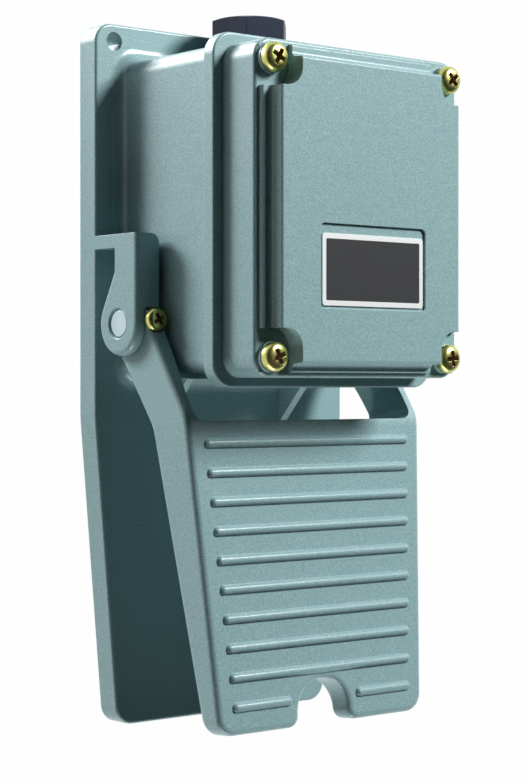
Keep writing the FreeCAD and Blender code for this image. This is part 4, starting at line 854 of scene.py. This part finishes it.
class FOOTSWITCH_OT_contacts(Dresser, bpy.types.Operator):
    """Finishes the contact block, its strips and the earth terminal"""

    bl_idname = "footswitch.contacts"
    bl_label = "Finish the contacts"

    def execute(self, context):
        s = self.settings.mouldings
        brass = bright_metal("brass", self.settings.metals.brass, roughness=0.30)
        dress(brass, "closed_contacts", "open_contacts", "contact_bridge", "earth_screw", "earth_washer")
        phenolic = moulded("phenolic", s.phenolic, roughness=0.36, edge=s.block_edge, grain=s.skin)
        dress(phenolic, "contact_block", "block_cover")
        acetal = moulded("acetal", s.acetal, roughness=0.40, edge=s.soft_edge, grain=s.skin)
        dress(acetal, "plunger")
        return {"FINISHED"}


class FOOTSWITCH_OT_stage(Dresser, bpy.types.Operator):
    """Sets up the floor, the lamps and the camera"""

    bl_idname = "footswitch.stage"
    bl_label = "Set up the stage"

    def execute(self, context):
        s = self.settings.stage
        self.make_camera(s)
        for name, strength, direction, size in SOFTBOXES:
            self.make_softbox(name, Vector(direction), s.lamp_distance, size, getattr(s, strength))
        self.make_world(s)
        self.make_floor(s)
        context.scene.view_settings.view_transform = "Standard"
        return {"FINISHED"}

    def make_camera(self, s):
        """A camera that looks across the switch from its left and above."""
        forward = Vector((math.sin(s.camera_turn), 0, -math.cos(s.camera_turn)))
        right = Vector((math.cos(s.camera_turn), 0, math.sin(s.camera_turn)))
        up = Vector((0, 1, 0))
        look = forward * math.cos(s.camera_pitch) + up * math.sin(s.camera_pitch)
        top = up * math.cos(s.camera_pitch) - forward * math.sin(s.camera_pitch)
        data = bpy.data.cameras.new("camera")
        data.lens = data.sensor_width * s.focal_pixels / s.picture_height
        camera = bpy.data.objects.new("camera", data)
        axes = Matrix((right, top, -look)).transposed().to_4x4()
        camera.matrix_world = Matrix.Translation(s.camera_place) @ axes
        bpy.context.scene.collection.objects.link(camera)
        bpy.context.scene.camera = camera

    def make_softbox(self, name, direction, distance, size, watts):
        """A rectangular lamp that faces the middle of the switch."""
        data = bpy.data.lights.new(name, "AREA")
        data.shape = "RECTANGLE"
        data.size, data.size_y = size
        data.energy = watts
        lamp = bpy.data.objects.new(name, data)
        unit = direction.normalized()
        lamp.location = (CAD_LOW + CAD_HIGH) / 2 + unit * distance
        lamp.rotation_mode = "QUATERNION"
        lamp.rotation_quaternion = unit.to_track_quat("Z", "Y")
        lamp.visible_camera = False
        bpy.context.scene.collection.objects.link(lamp)

    def make_world(self, s):
        """Faint white light from all round."""
        world = bpy.data.worlds.new("room")
        world.use_nodes = True
        backdrop = world.node_tree.nodes["Background"]
        backdrop.inputs["Color"].default_value = (1.0, 1.0, 1.0, 1.0)
        backdrop.inputs["Strength"].default_value = s.ambient
        bpy.context.scene.world = world

    def make_floor(self, s):
        """A flat disc whose rim sweeps up; it lets the lamps below it through."""
        profile = [(0, 0), (s.floor_radius * 0.5, 0), (s.floor_radius, 0)]
        for i in range(1, SWEEP_STEPS + 1):
            a = math.pi / 2 * i / SWEEP_STEPS
            out = s.floor_radius + s.sweep_height * math.sin(a)
            profile.append((out, s.sweep_height * (1 - math.cos(a))))
        mesh = spun(profile, FLOOR_SEGMENTS)
        mesh.shade_smooth()
        mesh.transform(Matrix.Translation((0, 0, CAD_LOW.z - s.floor_gap)))
        mesh.materials.append(pale_floor(s))
        floor = bpy.data.objects.new("floor", mesh)
        floor.visible_shadow = False
        bpy.context.scene.collection.objects.link(floor)


STEPS = (
    FOOTSWITCH_OT_castings,
    FOOTSWITCH_OT_screws,
    FOOTSWITCH_OT_plate,
    FOOTSWITCH_OT_shaft,
    FOOTSWITCH_OT_seals,
    FOOTSWITCH_OT_gland,
    FOOTSWITCH_OT_mechanism,
    FOOTSWITCH_OT_springs,
    FOOTSWITCH_OT_contacts,
    FOOTSWITCH_OT_stage,
)


class FOOTSWITCH_PT_looks(bpy.types.Panel):
    """Lists the steps that dress the foot switch"""

    bl_idname = "FOOTSWITCH_PT_looks"
    bl_label = "Foot Switch"
    bl_space_type = "VIEW_3D"
    bl_region_type = "UI"
    bl_category = "Foot Switch"

    def draw(self, context):
        for step in STEPS:
            self.layout.operator(step.bl_idname)
        settings = context.scene.foot_switch
        for group_name in FootSwitchSettings.__annotations__:
            group = getattr(settings, group_name)
            box = self.layout.box()
            for name in group.__annotations__:
                box.prop(group, name)


CLASSES = (
    PaintSettings,
    ScrewSettings,
    PlateSettings,
    MetalSettings,
    MouldingSettings,
    SpringSettings,
    StageSettings,
    FootSwitchSettings,
    *STEPS,
    FOOTSWITCH_PT_looks,
)


def register():
    for kind in CLASSES:
        bpy.utils.register_class(kind)
    bpy.types.Scene.foot_switch = PointerProperty(type=FootSwitchSettings)


def unregister():
    del bpy.types.Scene.foot_switch
    for kind in reversed(CLASSES):
        bpy.utils.unregister_class(kind)


def main():
    register()
    for step in STEPS:
        family, name = step.bl_idname.split(".")
        getattr(getattr(bpy.ops, family), name)()


if __name__ == "__main__":
    main()
